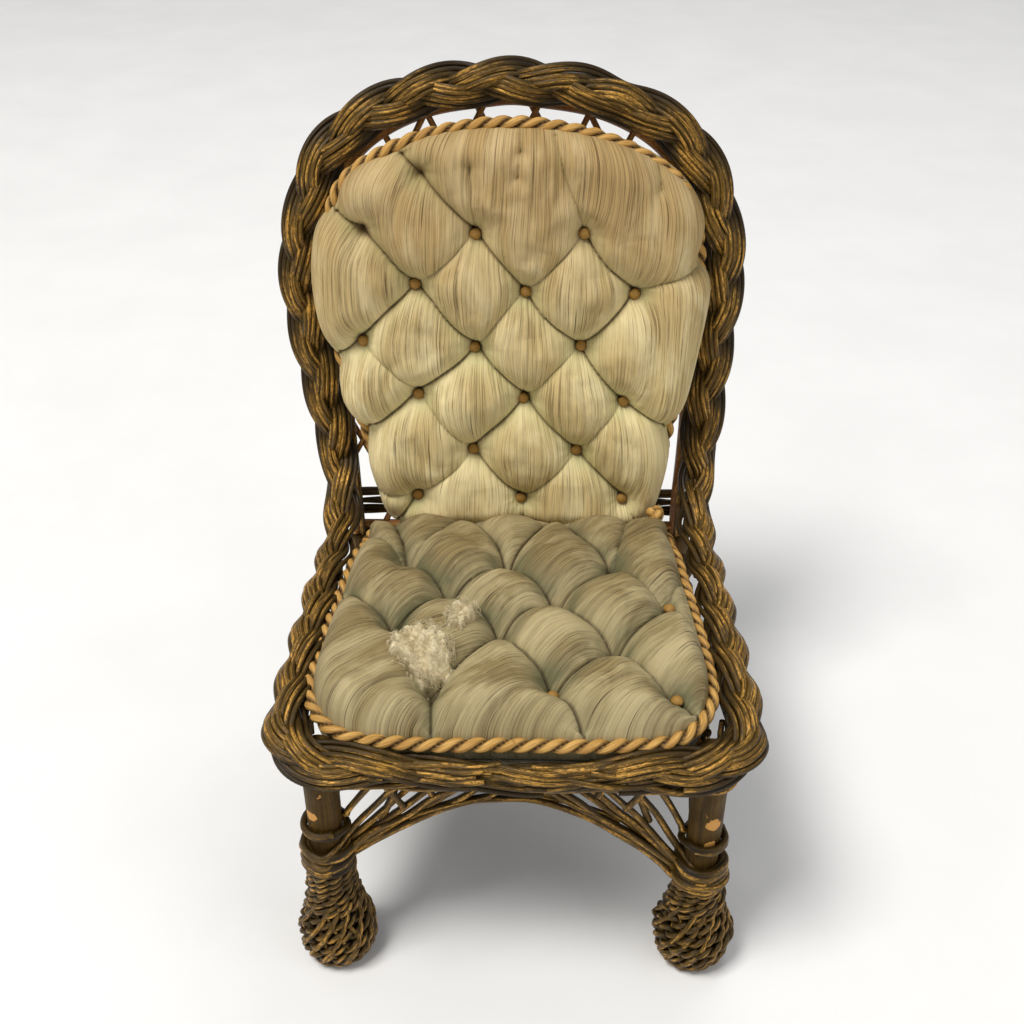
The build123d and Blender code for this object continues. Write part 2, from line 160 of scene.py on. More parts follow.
def curve(points, step, closed=False):
    """A smooth line through every point."""
    points = np.asarray(points, float)
    if closed:
        padded = np.vstack([points[-1:], points, points[:2]])
    else:
        padded = np.vstack([2 * points[0] - points[1], points, 2 * points[-1] - points[-2]])
    share = np.linspace(0.0, 1.0, 16, endpoint=False)[:, None]
    line = []
    for a, b, c, d in zip(padded, padded[1:], padded[2:], padded[3:]):
        bend = 2 * a - 5 * b + 4 * c - d
        line.append(b + 0.5 * share * (c - a + share * (bend + share * (3 * (b - c) + d - a))))
    if not closed:
        line.append(points[-1:])
    return even(np.vstack(line), step, closed)


def rounded(corners, radii, step, closed=False):
    """Straight runs between corners, each turned with a tangent arc."""
    corners = np.asarray(corners, float)
    turns = range(len(corners)) if closed else range(1, len(corners) - 1)
    line = [] if closed else [corners[:1]]
    for place, radius in zip(turns, radii):
        here = corners[place]
        run_in = unit(here - corners[place - 1])
        run_out = unit(corners[(place + 1) % len(corners)] - here)
        half_turn = math.acos(np.clip(run_in @ run_out, -1.0, 1.0)) / 2
        if half_turn < 1e-3:
            line.append(here[None])
            continue
        inward, middle = unit(run_out - run_in), unit(run_in + run_out)
        angles = np.linspace(-half_turn, half_turn, 12)[:, None]
        centre = here + inward * radius / math.cos(half_turn)
        line.append(centre + radius * (middle * np.sin(angles) - inward * np.cos(angles)))
    if not closed:
        line.append(corners[-1:])
    return even(np.vstack(line), step, closed)


def soften(values, reach):
    """A moving average along the first axis that keeps the ends."""
    pad = [(reach, reach)] + [(0, 0)] * (values.ndim - 1)
    padded = np.pad(values, pad, mode="edge")
    total = np.cumsum(np.concatenate([np.zeros_like(padded[:1]), padded]), axis=0)
    width = 2 * reach + 1
    return (total[width:] - total[:-width]) / width


def wander(count, every, size):
    """A smooth random drift, one value per point, with a new knot every so many points."""
    knots = max(2, count // every) + 1
    values = RNG.normal(0.0, size, knots + 1)
    place = np.linspace(0.0, knots - 0.001, count)
    low = place.astype(int)
    share = (1 - np.cos(math.pi * (place - low))) / 2
    return values[low] * (1 - share) + values[low + 1] * share


def fade(values, low, high):
    """0 below low, 1 above high and smooth between."""
    share = np.clip((values - low) / (high - low), 0.0, 1.0)
    return share * share * (3 - 2 * share)


def value_noise(u, v, seed):
    """Smooth noise from -1 to 1 on a plane, with one random value per unit cell."""
    table = np.random.default_rng(seed).uniform(-1.0, 1.0, (256, 256))
    low_u, low_v = np.floor(u).astype(int), np.floor(v).astype(int)
    share_u, share_v = fade(u - low_u, 0.0, 1.0), fade(v - low_v, 0.0, 1.0)
    u0, u1, v0, v1 = low_u % 256, (low_u + 1) % 256, low_v % 256, (low_v + 1) % 256
    left = table[u0, v0] * (1 - share_v) + table[u0, v1] * share_v
    right = table[u1, v0] * (1 - share_v) + table[u1, v1] * share_v
    return left * (1 - share_u) + right * share_u


def lean(t):
    """How far the back has gone to one side at height t."""
    return BACK_LEAN * fade(t, 0.0, BACK_LEAN_HEIGHT)


def on_back(x, t, n):
    """Points of the back plane in the chair's axes; the back leans a little to the left."""
    x, t, n = np.broadcast_arrays(np.asarray(x, float), t, n)
    across = (x + lean(t))[..., None] * np.array([1.0, 0.0, 0.0])
    return BACK_FOOT + across + t[..., None] * BACK_UP + n[..., None] * BACK_OUT


# ---------------------------------------------------------------- meshes


def put_in_scene(name, data):
    made = bpy.data.objects.new(name, data)
    bpy.context.scene.collection.objects.link(made)
    return made


def make_piece(name, verts, faces, look, nodes=(), attributes=None):
    """A smooth piece from millimetre points, with named values or vectors on its vertices."""
    mesh = bpy.data.meshes.new(name)
    mesh.from_pydata(np.asarray(verts) * MM, [], faces)
    for title, values in (attributes or {}).items():
        kind, field = ("FLOAT", "value") if values.ndim == 1 else ("FLOAT_VECTOR", "vector")
        layer = mesh.attributes.new(title, kind, "POINT")
        layer.data.foreach_set(field, np.ascontiguousarray(values, np.float32).ravel())
    mesh.materials.append(look)
    mesh.shade_smooth()
    made = put_in_scene(name, mesh)
    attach(made, "root")
    if nodes:
        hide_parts(*nodes)
    return made


def belt(low, high, count):
    """Quads between two closed rings, given the number of each ring's first point."""
    return [[low + n, low + (n + 1) % count, high + (n + 1) % count, high + n] for n in range(count)]


def side_axes(path, closed):
    """Two directions across a path that don't spin along it."""
    if closed:
        tangents = unit(np.roll(path, -1, axis=0) - np.roll(path, 1, axis=0))
    else:
        tangents = unit(np.gradient(path, axis=0))
    start = np.eye(3)[np.argmin(np.abs(tangents[0]))]
    across = np.empty_like(path)
    across[0] = unit(start - tangents[0] * (start @ tangents[0]))
    for n in range(1, len(path)):
        moved = across[n - 1] - tangents[n] * (across[n - 1] @ tangents[n])
        across[n] = moved / math.sqrt(moved @ moved)
    other = np.cross(tangents, across)
    if closed:
        moved = across[-1] - tangents[0] * (across[-1] @ tangents[0])
        slip = math.atan2(moved @ other[0], moved @ across[0])
        angles = -slip * np.arange(len(path))[:, None] / len(path)
        across, other = (
            across * np.cos(angles) + other * np.sin(angles),
            other * np.cos(angles) - across * np.sin(angles),
        )
    return across, other


GRAIN_RADIUS = 1.25


class Weave:
    """Gathers round strands, such as reeds or cord plies, into one mesh."""

    def __init__(self, sides=8):
        self.sides = sides
        self.verts, self.grain, self.shade_and_wear = [], [], []
        self.faces = []
        self.count = 0

    def add(self, path, radius, outward=None, squash=1.0, closed=False, raised=1.0):
        """One strand. Its worn, lit side faces outward, and raised, from 0 to 1, is how far it stands out.
        The value worked out here is painted shade on the inner and sunken sides, and painted highlight with
        real gilt wear on the outer crest.
        """
        path = np.asarray(path, float)
        count = len(path)
        radius = np.broadcast_to(radius, count)[:, None, None]
        across, other = side_axes(path, closed)
        if outward is not None and squash != 1.0:
            other = unit(np.broadcast_to(outward, path.shape))
            across = unit(np.cross(other, unit(np.gradient(path, axis=0))))
        turn = np.arange(self.sides) / self.sides * FULL_TURN
        away = across[:, None] * np.cos(turn)[:, None] + other[:, None] * np.sin(turn)[:, None] * squash
        ring = path[:, None] + radius * away
        along = path_length(path)
        seed = RNG.uniform(0.0, 900.0)
        grain = np.empty((count, self.sides, 3))
        grain[..., 0] = along[:, None] + seed
        grain[..., 1] = np.cos(turn) * GRAIN_RADIUS + seed
        grain[..., 2] = np.sin(turn) * GRAIN_RADIUS
        if outward is None:
            shade_and_wear = np.full((count, self.sides), 0.5)
        else:
            # Painted shade and highlight: low on the side turned in and where the strand sinks, high on its
            # outward, raised crest. The back, turned right away, is lifted so it is not painted black.
            facing = unit(np.broadcast_to(outward, path.shape))[:, None]
            turned = np.sum(unit(away) * facing, axis=-1)
            rubbed_and_lit = (0.5 + 0.5 * turned) * (0.45 + 0.55 * np.broadcast_to(raised, count)[:, None])
            shade_and_wear = np.maximum(rubbed_and_lit, -0.75 * turned)
        self.append(ring, grain, shade_and_wear, closed)

    def append(self, ring, grain, shade_and_wear, closed):
        count = len(ring)
        spots = self.count + np.arange(count * self.sides).reshape(count, self.sides)
        here = spots if closed else spots[:-1]
        after = np.roll(spots, -1, axis=0) if closed else spots[1:]
        quads = [here, np.roll(here, -1, axis=1), np.roll(after, -1, axis=1), after]
        self.faces += np.stack(quads, axis=-1).reshape(-1, 4).tolist()
        if not closed:
            self.faces += [spots[0, ::-1].tolist(), spots[-1].tolist()]
        self.verts.append(ring.reshape(-1, 3))
        self.grain.append(grain.reshape(-1, 3))
        self.shade_and_wear.append(shade_and_wear.reshape(-1))
        self.count += count * self.sides

    def build(self, name, look, slot, *nodes):
        """One piece of all the strands so far, standing for the CAD nodes."""
        attributes = {"grain": np.vstack(self.grain), "shade_and_wear": np.concatenate(self.shade_and_wear)}
        make_piece(name, np.vstack(self.verts), self.faces, look, nodes, attributes)


def cad_rods(name):
    """The two ends, in millimetres, of each straight rod in a CAD node."""
    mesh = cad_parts[name].data
    points = np.empty(len(mesh.vertices) * 3)
    mesh.vertices.foreach_get("co", points)
    points = points.reshape(-1, 3) / MM
    edges = np.empty(len(mesh.edges) * 2, int)
    mesh.edges.foreach_get("vertices", edges)
    merged = {}
    label = np.array([merged.setdefault(key, n) for n, key in enumerate(map(tuple, points.round(3)))])
    for a, b in label[edges.reshape(-1, 2)]:
        low, high = root_label(label, a), root_label(label, b)
        label[max(low, high)] = min(low, high)
    groups = np.array([root_label(label, n) for n in range(len(points))])
    for group in np.unique(groups):
        part = points[groups == group]
        middle = part.mean(axis=0)
        axis = np.linalg.svd(part - middle, full_matrices=False)[2][0]
        reach = (part - middle) @ axis
        yield middle + axis * reach.min(), middle + axis * reach.max()


def root_label(label, n):
    while label[n] != n:
        n = label[n]
    return n


# ---------------------------------------------------------------- materials


class Look:
    """Builds one procedural material, node by node."""

    def __init__(self, name):
        self.material = bpy.data.materials.new(name)
        self.material.use_nodes = True
        self.nodes = self.material.node_tree.nodes
        self.links = self.material.node_tree.links
        self.shader = self.nodes["Principled BSDF"]

    def set(self, socket, value):
        if isinstance(value, bpy.types.NodeSocket):
            self.links.new(value, socket)
        else:
            socket.default_value = value

    def attribute(self, name, output="Fac"):
        made = self.nodes.new("ShaderNodeAttribute")
        made.attribute_name = name
        return made.outputs[output]

    def maths(self, operation, a, b=0.0):
        made = self.nodes.new("ShaderNodeMath")
        made.operation = operation
        self.set(made.inputs[0], a)
        self.set(made.inputs[1], b)
        return made.outputs[0]

    def product(self, a, b):
        return self.maths("MULTIPLY", a, b)

    def stretched(self, vector, scale):
        made = self.nodes.new("ShaderNodeVectorMath")
        made.operation = "MULTIPLY"
        self.set(made.inputs[0], vector)
        made.inputs[1].default_value = scale
        return made.outputs[0]

    def noise(self, vector, scale, detail=4.0, rough=0.55, swirl=0.0):
        made = self.nodes.new("ShaderNodeTexNoise")
        self.set(made.inputs["Vector"], self.stretched(vector, scale))
        made.inputs["Scale"].default_value = 1.0
        made.inputs["Detail"].default_value = detail
        made.inputs["Roughness"].default_value = rough
        made.inputs["Distortion"].default_value = swirl
        return made.outputs["Fac"]

    def ramp(self, factor, *stops):
        """Stops are (place, colour) or (place, brightness)."""
        made = self.nodes.new("ShaderNodeValToRGB")
        while len(made.color_ramp.elements) < len(stops):
            made.color_ramp.elements.new(1.0)
        for element, (place, tint) in zip(made.color_ramp.elements, stops):
            element.position = place
            element.color = tint if isinstance(tint, tuple) else (tint, tint, tint, 1.0)
        self.set(made.inputs[0], factor)
        return made.outputs[0]

    def mix(self, factor, a, b, blend="MIX"):
        made = self.nodes.new("ShaderNodeMix")
        made.data_type = "RGBA"
        made.blend_type = blend
        self.set(made.inputs[0], factor)
        self.set(made.inputs[6], a)
        self.set(made.inputs[7], b)
        return made.outputs[2]

    def stain(self, body, tint, factor, *stops):
        """The body tinted as far as the factor's ramp says."""
        return self.mix(self.ramp(factor, *stops), body, tint)

    def place(self):
        """Object coordinates in millimetres, for pieces without strands."""
        made = self.nodes.new("ShaderNodeTexCoord")
        return self.stretched(made.outputs["Object"], (1 / MM, 1 / MM, 1 / MM))

    def bump(self, height, distance, strength=1.0, under=None):
        made = self.nodes.new("ShaderNodeBump")
        made.inputs["Strength"].default_value = strength
        made.inputs["Distance"].default_value = distance * MM
        self.set(made.inputs["Height"], height)
        if under is not None:
            self.set(made.inputs["Normal"], under)
        return made.outputs[0]

    def finish(self, colour, roughness, metallic=0.0, normal=None, **extra):
        self.set(self.shader.inputs["Base Color"], colour)
        self.set(self.shader.inputs["Roughness"], roughness)
        self.set(self.shader.inputs["Metallic"], metallic)
        if normal is not None:
            self.set(self.shader.inputs["Normal"], normal)
        for name, value in extra.items():
            self.set(self.shader.inputs[name.replace("_", " ")], value)
        return self.material


def paint(red, green, blue):
    """A linear colour from 0-255 display values."""
    scaled = [c / 255 for c in (red, green, blue)]
    return (*[c / 12.92 if c <= 0.04045 else ((c + 0.055) / 1.055) ** 2.4 for c in scaled], 1.0)


def reed_look(name, dark, middle, bright, gold):
    """Bronze-painted reed: painted shade darkens its sides and hollows, and its outward crests are painted
    lighter. The gold along the crests is rubbed gilt and partly a painted highlight.
    """
    look = Look(name)
    grain = look.attribute("grain", "Vector")
    shade_and_wear = look.attribute("shade_and_wear")
    streak = look.noise(grain, (0.07, 1.6, 1.6), 6.0, 0.65)
    bands = look.noise(grain, (0.07, 0.9, 0.9), 4.0, 0.6)
    specks = look.noise(grain, (0.6, 1.6, 1.6), 5.0, 0.7, 0.6)
    # Painted shade and highlight: the facing value darkens the reed's sides and hollows and lightens its
    # crests.
    shade = look.maths("ADD", look.product(streak, 0.4), look.product(shade_and_wear, 0.6))
    body = look.ramp(shade, (0.36, dark), (0.58, middle), (0.7, middle), (0.84, bright))
    body = look.stain(body, dark, specks, (0.35, 0.55), (0.55, 0.0))
    # The gold on the outward crests is worn gilt and partly a painted highlight.
    on_crest = look.ramp(shade_and_wear, (0.62, 0.0), (0.92, 1.0))
    rubbed_and_lit = look.product(look.ramp(bands, (0.5, 0.0), (0.6, 1.0)), on_crest)
    rubbed_and_lit = look.product(rubbed_and_lit, look.ramp(specks, (0.42, 0.15), (0.55, 1.0)))
    body = look.mix(look.product(rubbed_and_lit, 0.9), body, gold)
    relief = look.bump(streak, 0.4, 0.8)
    relief = look.bump(specks, 0.12, 0.6, relief)
    shine = look.ramp(streak, (0.35, 0.3), (0.7, 0.55))
    return look.finish(body, shine, look.product(rubbed_and_lit, 0.4), relief, Specular_IOR_Level=0.22)


def dowel_look(name, dark, middle, chip, stretch, chips=()):
    """Painted or oiled rod with a long grain; each chip is a place in millimetres and a radius."""
    look = Look(name)
    place = look.place()
    grain = look.noise(place, stretch, 6.0, 0.6)
    blotch = look.noise(place, (0.12, 0.12, 0.12), 4.0)
    flakes = look.noise(place, (0.15, 0.15, 0.085), 6.0, 0.6, 0.5)
    body = look.ramp(grain, (0.3, dark), (0.7, middle))
    body = look.stain(body, dark, blotch, (0.4, 0.0), (0.75, 0.6))
    bare = look.ramp(flakes, (0.64, 0.0), (0.665, 1.0))
    for spot, radius in chips:
        away = look.nodes.new("ShaderNodeVectorMath")
        away.operation = "DISTANCE"
        look.set(away.inputs[0], place)
        away.inputs[1].default_value = spot
        reach = look.maths("ADD", look.maths("DIVIDE", away.outputs["Value"], radius), flakes)
        bare = look.maths("MAXIMUM", bare, look.ramp(reach, (0.78, 1.0), (0.8, 0.0)))
    body = look.mix(bare, body, chip)
    relief = look.bump(grain, 0.25, 0.6)
    relief = look.bump(look.maths("SUBTRACT", 1.0, bare), 0.3, 0.7, relief)
    matt = look.ramp(blotch, (0.3, 0.5), (0.7, 0.7))
    return look.finish(body, matt, 0.0, relief, Specular_IOR_Level=0.15)


def edging_look():
    """Golden silk cord: fine threads run along each ply, with painted shade where the plies meet."""
    look = Look("golden_edging")
    grain = look.attribute("grain", "Vector")
    threads = look.noise(grain, (0.12, 3.2, 3.2), 4.0, 0.6)
    tone_shift = look.noise(grain, (0.06, 0.3, 0.3), 3.0)
    shades = paint(150, 108, 48), paint(200, 154, 80), paint(232, 192, 120)
    body = look.ramp(threads, *zip((0.3, 0.5, 0.75), shades))
    body = look.stain(body, paint(150, 104, 52), tone_shift, (0.45, 0.0), (0.75, 0.5))
    # Painted shade: each ply darkens towards its inner side, where the plies press together. The knot's
    # frayed fibres darken on one side the same way.
    body = look.stain(body, paint(48, 28, 8), look.attribute("shade_and_wear"), (0.4, 0.95), (0.8, 0.0))
    relief = look.bump(threads, 0.4, 0.8)
    return look.finish(body, 0.6, 0.0, relief, Specular_IOR_Level=0.3)


def silk_look(name, crest, hollow, line, pale):
    """Perished silk: fine threads one way, long dark lines where they have parted, pale worn places."""
    look = Look(name)
    weave = look.attribute("weave", "Vector")
    height = look.attribute("crest")
    torn = look.attribute("torn")
    fold = look.attribute("fold")
    fine = look.noise(weave, (2.0, 0.025, 0.0), 2.0, 0.5)
    splits = look.noise(weave, (1.5, 0.014, 0.0), 1.0, 0.5, 0.3)
    hairs = look.noise(weave, (2.6, 0.022, 0.0), 1.0, 0.5, 0.2)
    blotch = look.noise(weave, (0.06, 0.022, 0.0), 4.0, 0.6, 0.5)
    patches = look.noise(weave, (0.11, 0.045, 0.0), 3.0, 0.6)
    body = look.mix(look.ramp(height, (0.2, 0.0), (0.8, 1.0)), hollow, crest)
    body = look.stain(body, pale, blotch, (0.42, 0.0), (0.64, 0.85))
    # Browner and darker over a given span: towards the top of the back and towards the rear of the seat.
    body = look.mix(look.attribute("tone_shift"), body, look.mix(1.0, body, paint(214, 202, 192), "MULTIPLY"))
    body = look.mix(1.0, body, look.ramp(fine, (0.3, 0.84), (0.5, 0.98), (0.7, 1.1)), "MULTIPLY")
    on_crest = look.ramp(height, (0.25, 0.1), (0.7, 1.0))
    in_patches = look.ramp(patches, (0.4, 0.15), (0.56, 1.0))
    off_blotches = look.ramp(blotch, (0.4, 1.0), (0.62, 0.25))
    wide = look.product(look.ramp(splits, (0.63, 0.0), (0.7, 0.8)), in_patches)
    thin = look.product(look.ramp(hairs, (0.54, 0.0), (0.66, 0.55)), off_blotches)
    parted = look.product(look.maths("MAXIMUM", wide, thin), on_crest)
    body = look.mix(parted, body, line)
    # Painted shade, with a little dirt: darker along the crease lines and round each tuft, where the cloth
    # dips.
    body = look.stain(body, line, fold, (0.3, 0.0), (0.95, 0.8))
    fluff = look.noise(weave, (0.9, 0.9, 0.0), 7.0, 0.7, 0.9)
    stuffing = look.ramp(fluff, (0.3, paint(206, 188, 146)), (0.6, paint(240, 226, 190)))
    body = look.mix(torn, body, stuffing)
    relief = look.bump(look.noise(weave, (0.5, 0.016, 0.0), 2.0, 0.5, 0.3), 2.0, 0.65)
    relief = look.bump(look.maths("SUBTRACT", 1.0, parted), 0.35, 0.9, relief)
    relief = look.bump(fine, 0.22, 0.6, relief)
    relief = look.bump(look.product(fluff, torn), 1.2, 0.7, relief)
    matt = look.ramp(fine, (0.3, 0.55), (0.7, 0.8))
    return look.finish(body, matt, 0.0, relief, Specular_IOR_Level=0.25)


def cloth_look(name, light, dark):
    """Plain woven cotton."""
    look = Look(name)
    place = look.place()
    weft = look.noise(place, (0.3, 4.0, 4.0), 2.0)
    warp = look.noise(place, (4.0, 0.3, 0.3), 2.0)
    weave = look.product(weft, warp)
    tone_shift = look.noise(place, (0.05, 0.05, 0.05), 5.0, 0.6)
    body = look.ramp(tone_shift, (0.35, dark), (0.65, light))
    body = look.mix(0.5, body, look.ramp(weave, (0.1, 0.6), (0.4, 1.0)), "MULTIPLY")
    return look.finish(body, 0.85, 0.0, look.bump(weave, 0.2, 0.6))


def button_look():
    """Small buttons covered in worn golden-brown cloth, with painted shade on the low rim where each meets
    the cushion.
    """
    look = Look("button_cloth")
    place = look.place()
    weave = look.noise(place, (3.0, 3.0, 3.0), 4.0)
    edge = look.attribute("crest")
    body = look.ramp(weave, (0.35, paint(122, 86, 26)), (0.65, paint(180, 136, 58)))
    # Painted shade: the low rim darkens as the cushion's shadow.
    body = look.stain(body, paint(64, 38, 12), edge, (0.0, 0.85), (0.5, 0.0))
    return look.finish(body, 0.6, 0.0, look.bump(weave, 0.25, 0.6))


# Each reed set is dark, middle, bright and gold. Dark is painted shade in the hollows and also the colour
# of the dark specks. Bright is a painted highlight on the crests. Gold is worn gilt that is partly a
# painted highlight.
WICKER_TONES = paint(30, 19, 4), paint(72, 54, 19), paint(132, 99, 40), paint(220, 166, 78)
BOW_TONES = paint(72, 44, 20), paint(132, 86, 38), paint(168, 116, 58), paint(200, 146, 80)
DOWEL_PAINTS = paint(50, 35, 10), paint(100, 74, 26), paint(208, 152, 80)
RAIL_PAINTS = paint(30, 20, 8), paint(60, 42, 18), paint(84, 60, 30)
# Each silk is crest, hollow, line and pale. The line colour marks the parted threads and is also the
# painted shade along the creases.
BACK_SILK_COLOURS = paint(210, 186, 130), paint(206, 197, 143), paint(92, 68, 32), paint(236, 220, 170)
SEAT_SILK_COLOURS = paint(142, 124, 84), paint(114, 110, 78), paint(52, 38, 16), paint(188, 172, 130)
CHIPS = (((84.6, -104.3, 94.0), 10.5), ((83.4, -104.5, 80.0), 9.5), ((-87.0, -103.0, 95.0), 9.0))

WICKER = reed_look("painted_reed", *WICKER_TONES)
BOW = reed_look("bent_rod", *BOW_TONES)
DOWEL = dowel_look("painted_dowel", *DOWEL_PAINTS, (0.9, 0.9, 0.04), CHIPS)
RAIL = dowel_look("bare_wood", *RAIL_PAINTS, (0.05, 0.3, 0.9))
EDGING = edging_look()
BACK_SILK = silk_look("back_silk", *BACK_SILK_COLOURS)
SEAT_SILK = silk_look("seat_silk", *SEAT_SILK_COLOURS)
LINING = cloth_look("lining_cloth", paint(206, 200, 180), paint(168, 158, 132))
COTTON = cloth_look("stuffing", paint(240, 226, 190), paint(214, 196, 152))
BUTTON = button_look()


# ---------------------------------------------------------------- feet and collars


def foot_radius(z):
    return np.interp(z, FOOT_HEIGHTS, FOOT_RADII)


def ring_path(place, angles, radius, z):
    """Points round an upright axis."""
    x, y = place[0] + radius * np.cos(angles), place[1] + radius * np.sin(angles)
    return np.stack([x, y, z + 0 * angles], 1)


def radial(path, place):
    """The level way out from an upright axis."""
    return (path - [*place, 0.0]) * [1.0, 1.0, 0.0]


def twined_row(weave, place, z, rise, radius):
    """Two reeds that twist round each other while they go round the foot."""
    middle = foot_radius(z) - 1.7
    twists = int(round(FULL_TURN * middle / TWIST_LENGTH))
    count = twists * TWIST_POINTS
    angles = np.linspace(0.0, FULL_TURN, count, endpoint=False) + RNG.uniform(0.0, 1.0)
    drift = wander(count, 7, 0.3)
    drift = drift - np.linspace(0.0, 1.0, count) * (drift[-1] - drift[0])
    for ply in (0.0, math.pi):
        phase = twists * angles + ply
        reach = middle + 1.15 * np.cos(phase) + drift
        heights = np.maximum(z + rise * np.sin(phase) + 1.4 * drift, radius)
        path = ring_path(place, angles, reach, heights)
        # Where a ply turns inward it is painted darker as shade, and lighter where it stands out.
        raised = 0.5 + 0.5 * np.cos(phase)
        weave.add(path, radius, radial(path, place), closed=True, raised=raised)


def ball_stakes(weave, place, side, outset, radius):
    """Stakes that cross over the open ball and turn under at the floor."""
    heights = np.linspace(STAKE_TOP, 2.2, 32)
    for n in range(STAKE_COUNT):
        start = (n + 0.25 * side) / STAKE_COUNT * FULL_TURN + RNG.uniform(-0.12, 0.12)
        angles = start + side * 1.35 * (STAKE_TOP - heights) / 38.0
        ripple = 0.5 * np.sin(heights * 1.1 + n * 2.0) + wander(32, 8, 0.25)
        path = ring_path(place, angles, foot_radius(heights) - 1.5 + outset + ripple, heights)
        weave.add(path, radius, radial(path, place))


def foot_rim(weave, place):
    """The rolled rim that the foot stands on."""
    for n, (out, z) in enumerate(((0.3, 1.5), (1.4, 3.4), (-1.2, 3.2))):
        angles = np.linspace(0.0, FULL_TURN, 72, endpoint=False)
        ripple = 0.45 * np.sin(9 * angles + n * 2.1)
        path = ring_path(place, angles, 12.2 + out + ripple, z + 0 * angles)
        path[:, 2] += 0.25 * np.cos(9 * angles + n * 2.1) if z > 2 else 0.0
        weave.add(path, 1.35, radial(path, place), closed=True)


def build_foot(name, place):
    weave = Weave(7)
    for z in np.arange(58.5, 34.0, -3.7):
        twined_row(weave, place, z, 1.5, 1.35)
    for z in (30.0, 23.8, 17.4, 11.0, 6.6):
        twined_row(weave, place, z, 1.9, 1.3)
    ball_stakes(weave, place, -1, 0.5, 1.3)
    ball_stakes(weave, place, 1, -1.2, 1.15)
    foot_rim(weave, place)
    weave.build(f"woven_foot_{name}", WICKER, "painted_reed", f"{name}_foot_weave")


def build_rear_leg(name, place):
    """A rear leg, which ends below the seat band, with the hoop standing in it."""
    side = [(7.0, 0.2), (7.5, 1.2), (7.5, REAR_LEG_TOP - 1.2), (6.6, REAR_LEG_TOP)]
    radii, heights = rounded(side, (0.5, 0.5), 2.0).T
    weave = Weave(24)
    weave.add(np.column_stack([np.tile(place, (len(heights), 1)), heights]), radii)
    weave.build(f"{name}_dowel", DOWEL, "painted_dowel", f"{name}_leg")


def build_rail(side, start, end, lift=0.0):
    """A slim rod between two legs, under the seat."""
    ends = [(x - math.copysign(3.0, x), y, RAIL_LEVEL) for x, y in (LEGS[start], LEGS[end])]
    weave = Weave(12)
    path = straight(*ends, 30)
    path[:, 2] += lift
    weave.add(path, RAIL_RADIUS * (1 + wander(30, 8, 0.02)), np.array([0.0, 0.0, 1.0]))
    weave.build(f"{side}_rail", BOW, "bent_rod", f"{side}_seat_rail")


def build_board():
    """The thin board under the seat cushion, a little smaller than the cushion."""
    outline = shrunk(seat_edge(2.0)[:, :2], 9.0)
    count = len(outline)
    rounding = ((2.0, 0.0), (0.4, 0.3), (0.0, 1.0), (0.0, 2.0), (0.4, 2.7), (2.0, 3.0))
    verts = []
    for inset, rise in rounding:
        verts.append(np.column_stack([shrunk(outline, inset), np.full(count, BOARD_BOTTOM + rise)]))
    top = (len(rounding) - 1) * count
    faces = [list(range(count))[::-1], list(range(top, top + count))]
    for low in range(0, top, count):
        faces += belt(low, low + count, count)
    make_piece("seat_board_panel", np.vstack(verts), faces, RAIL, ["seat_board"])


def build_collar(name, place):
    """Reeds wound tightly round the leg over the ends of the aprons."""
    weave = Weave(8)
    count = 96
    for n, height in enumerate(COLLAR_HEIGHTS):
        z = height - COLLAR_DROPS.get(name, 0.0)
        angles = np.linspace(0.0, FULL_TURN * COLLAR_TURNS, count) + RNG.uniform(0.0, FULL_TURN)
        tilt, low = RNG.uniform(0.4, 1.3), RNG.uniform(0.0, FULL_TURN)
        ends = 1 - fade(angles - angles[0], 0.0, 0.5) + fade(angles, angles[-1] - 0.5, angles[-1])
        radius = COLLAR_RADIUS + 1.2 * (n % 2) + wander(count, 12, 0.25) - 0.9 * ends
        heights = z + tilt * np.sin(angles - low) + wander(count, 14, 0.4)
        radius = radius + 1.6 * (1 - fade(heights, 56.0, 63.0))
        path = ring_path(place, angles, radius, heights)
        weave.add(path, 1.6 + 0.15 * (n % 2), radial(path, place))
    weave.build(f"collar_{name}", WICKER, "painted_reed", f"{name}_leg_collar")


# ---------------------------------------------------------------- seat band and aprons


def band_outline():
    """The band's centreline round all four legs, at floor level."""
    reach = LEG_RADIUS + BAND_CLEARANCE
    corners = []
    for name in ("front_right", "rear_right", "rear_left", "front_left"):
        x, y = LEGS[name]
        corners.append((x + math.copysign(reach, x), y + math.copysign(reach, y), 0.0))
    return rounded(corners, [reach + 1.0] * 4, 2.0, closed=True)


def flat_outward(path):
    """The way out from the middle of the seat, square to a level loop."""
    tangents = unit(np.roll(path, -1, axis=0) - np.roll(path, 1, axis=0))
    return np.cross(tangents, np.array([0.0, 0.0, 1.0]))


def build_band_course(number, height):
    """Long reeds that cross over each other slowly as they go round the seat."""
    weave = Weave(8)
    line = band_outline()
    outward = flat_outward(line)
    share = np.linspace(0.0, FULL_TURN, len(line), endpoint=False)
    for n in range(2):
        phase = share * 9 + n * math.pi + number * 1.3
        drift = 0.35 * np.sin(share * 3 + n + number) + 0.3 * np.sin(share * 17 + 2 * n)
        path = line + outward * (1.0 * np.cos(phase) + drift - 0.2)[:, None]
        path[:, 2] += height + 1.25 * np.sin(phase) + 0.35 * np.sin(share * 13 + 5 * n)
        weave.add(path, 1.45, outward, closed=True)
    weave.build(f"band_reeds_{number}", WICKER, "painted_reed", f"seat_band_course_{number}")


def reed_from_rod(weave, low, high, radius, outward, bow=0.6, squash=0.8):
    """A slightly bent, flattened reed in place of a straight rod."""
    sag = np.sin(np.linspace(0.0, math.pi, 24))[:, None] * RNG.normal(0.0, bow, 3)
    path = straight(low, high, 24) + sag
    weave.add(path, radius * (1 + wander(24, 8, 0.05)), outward, squash)


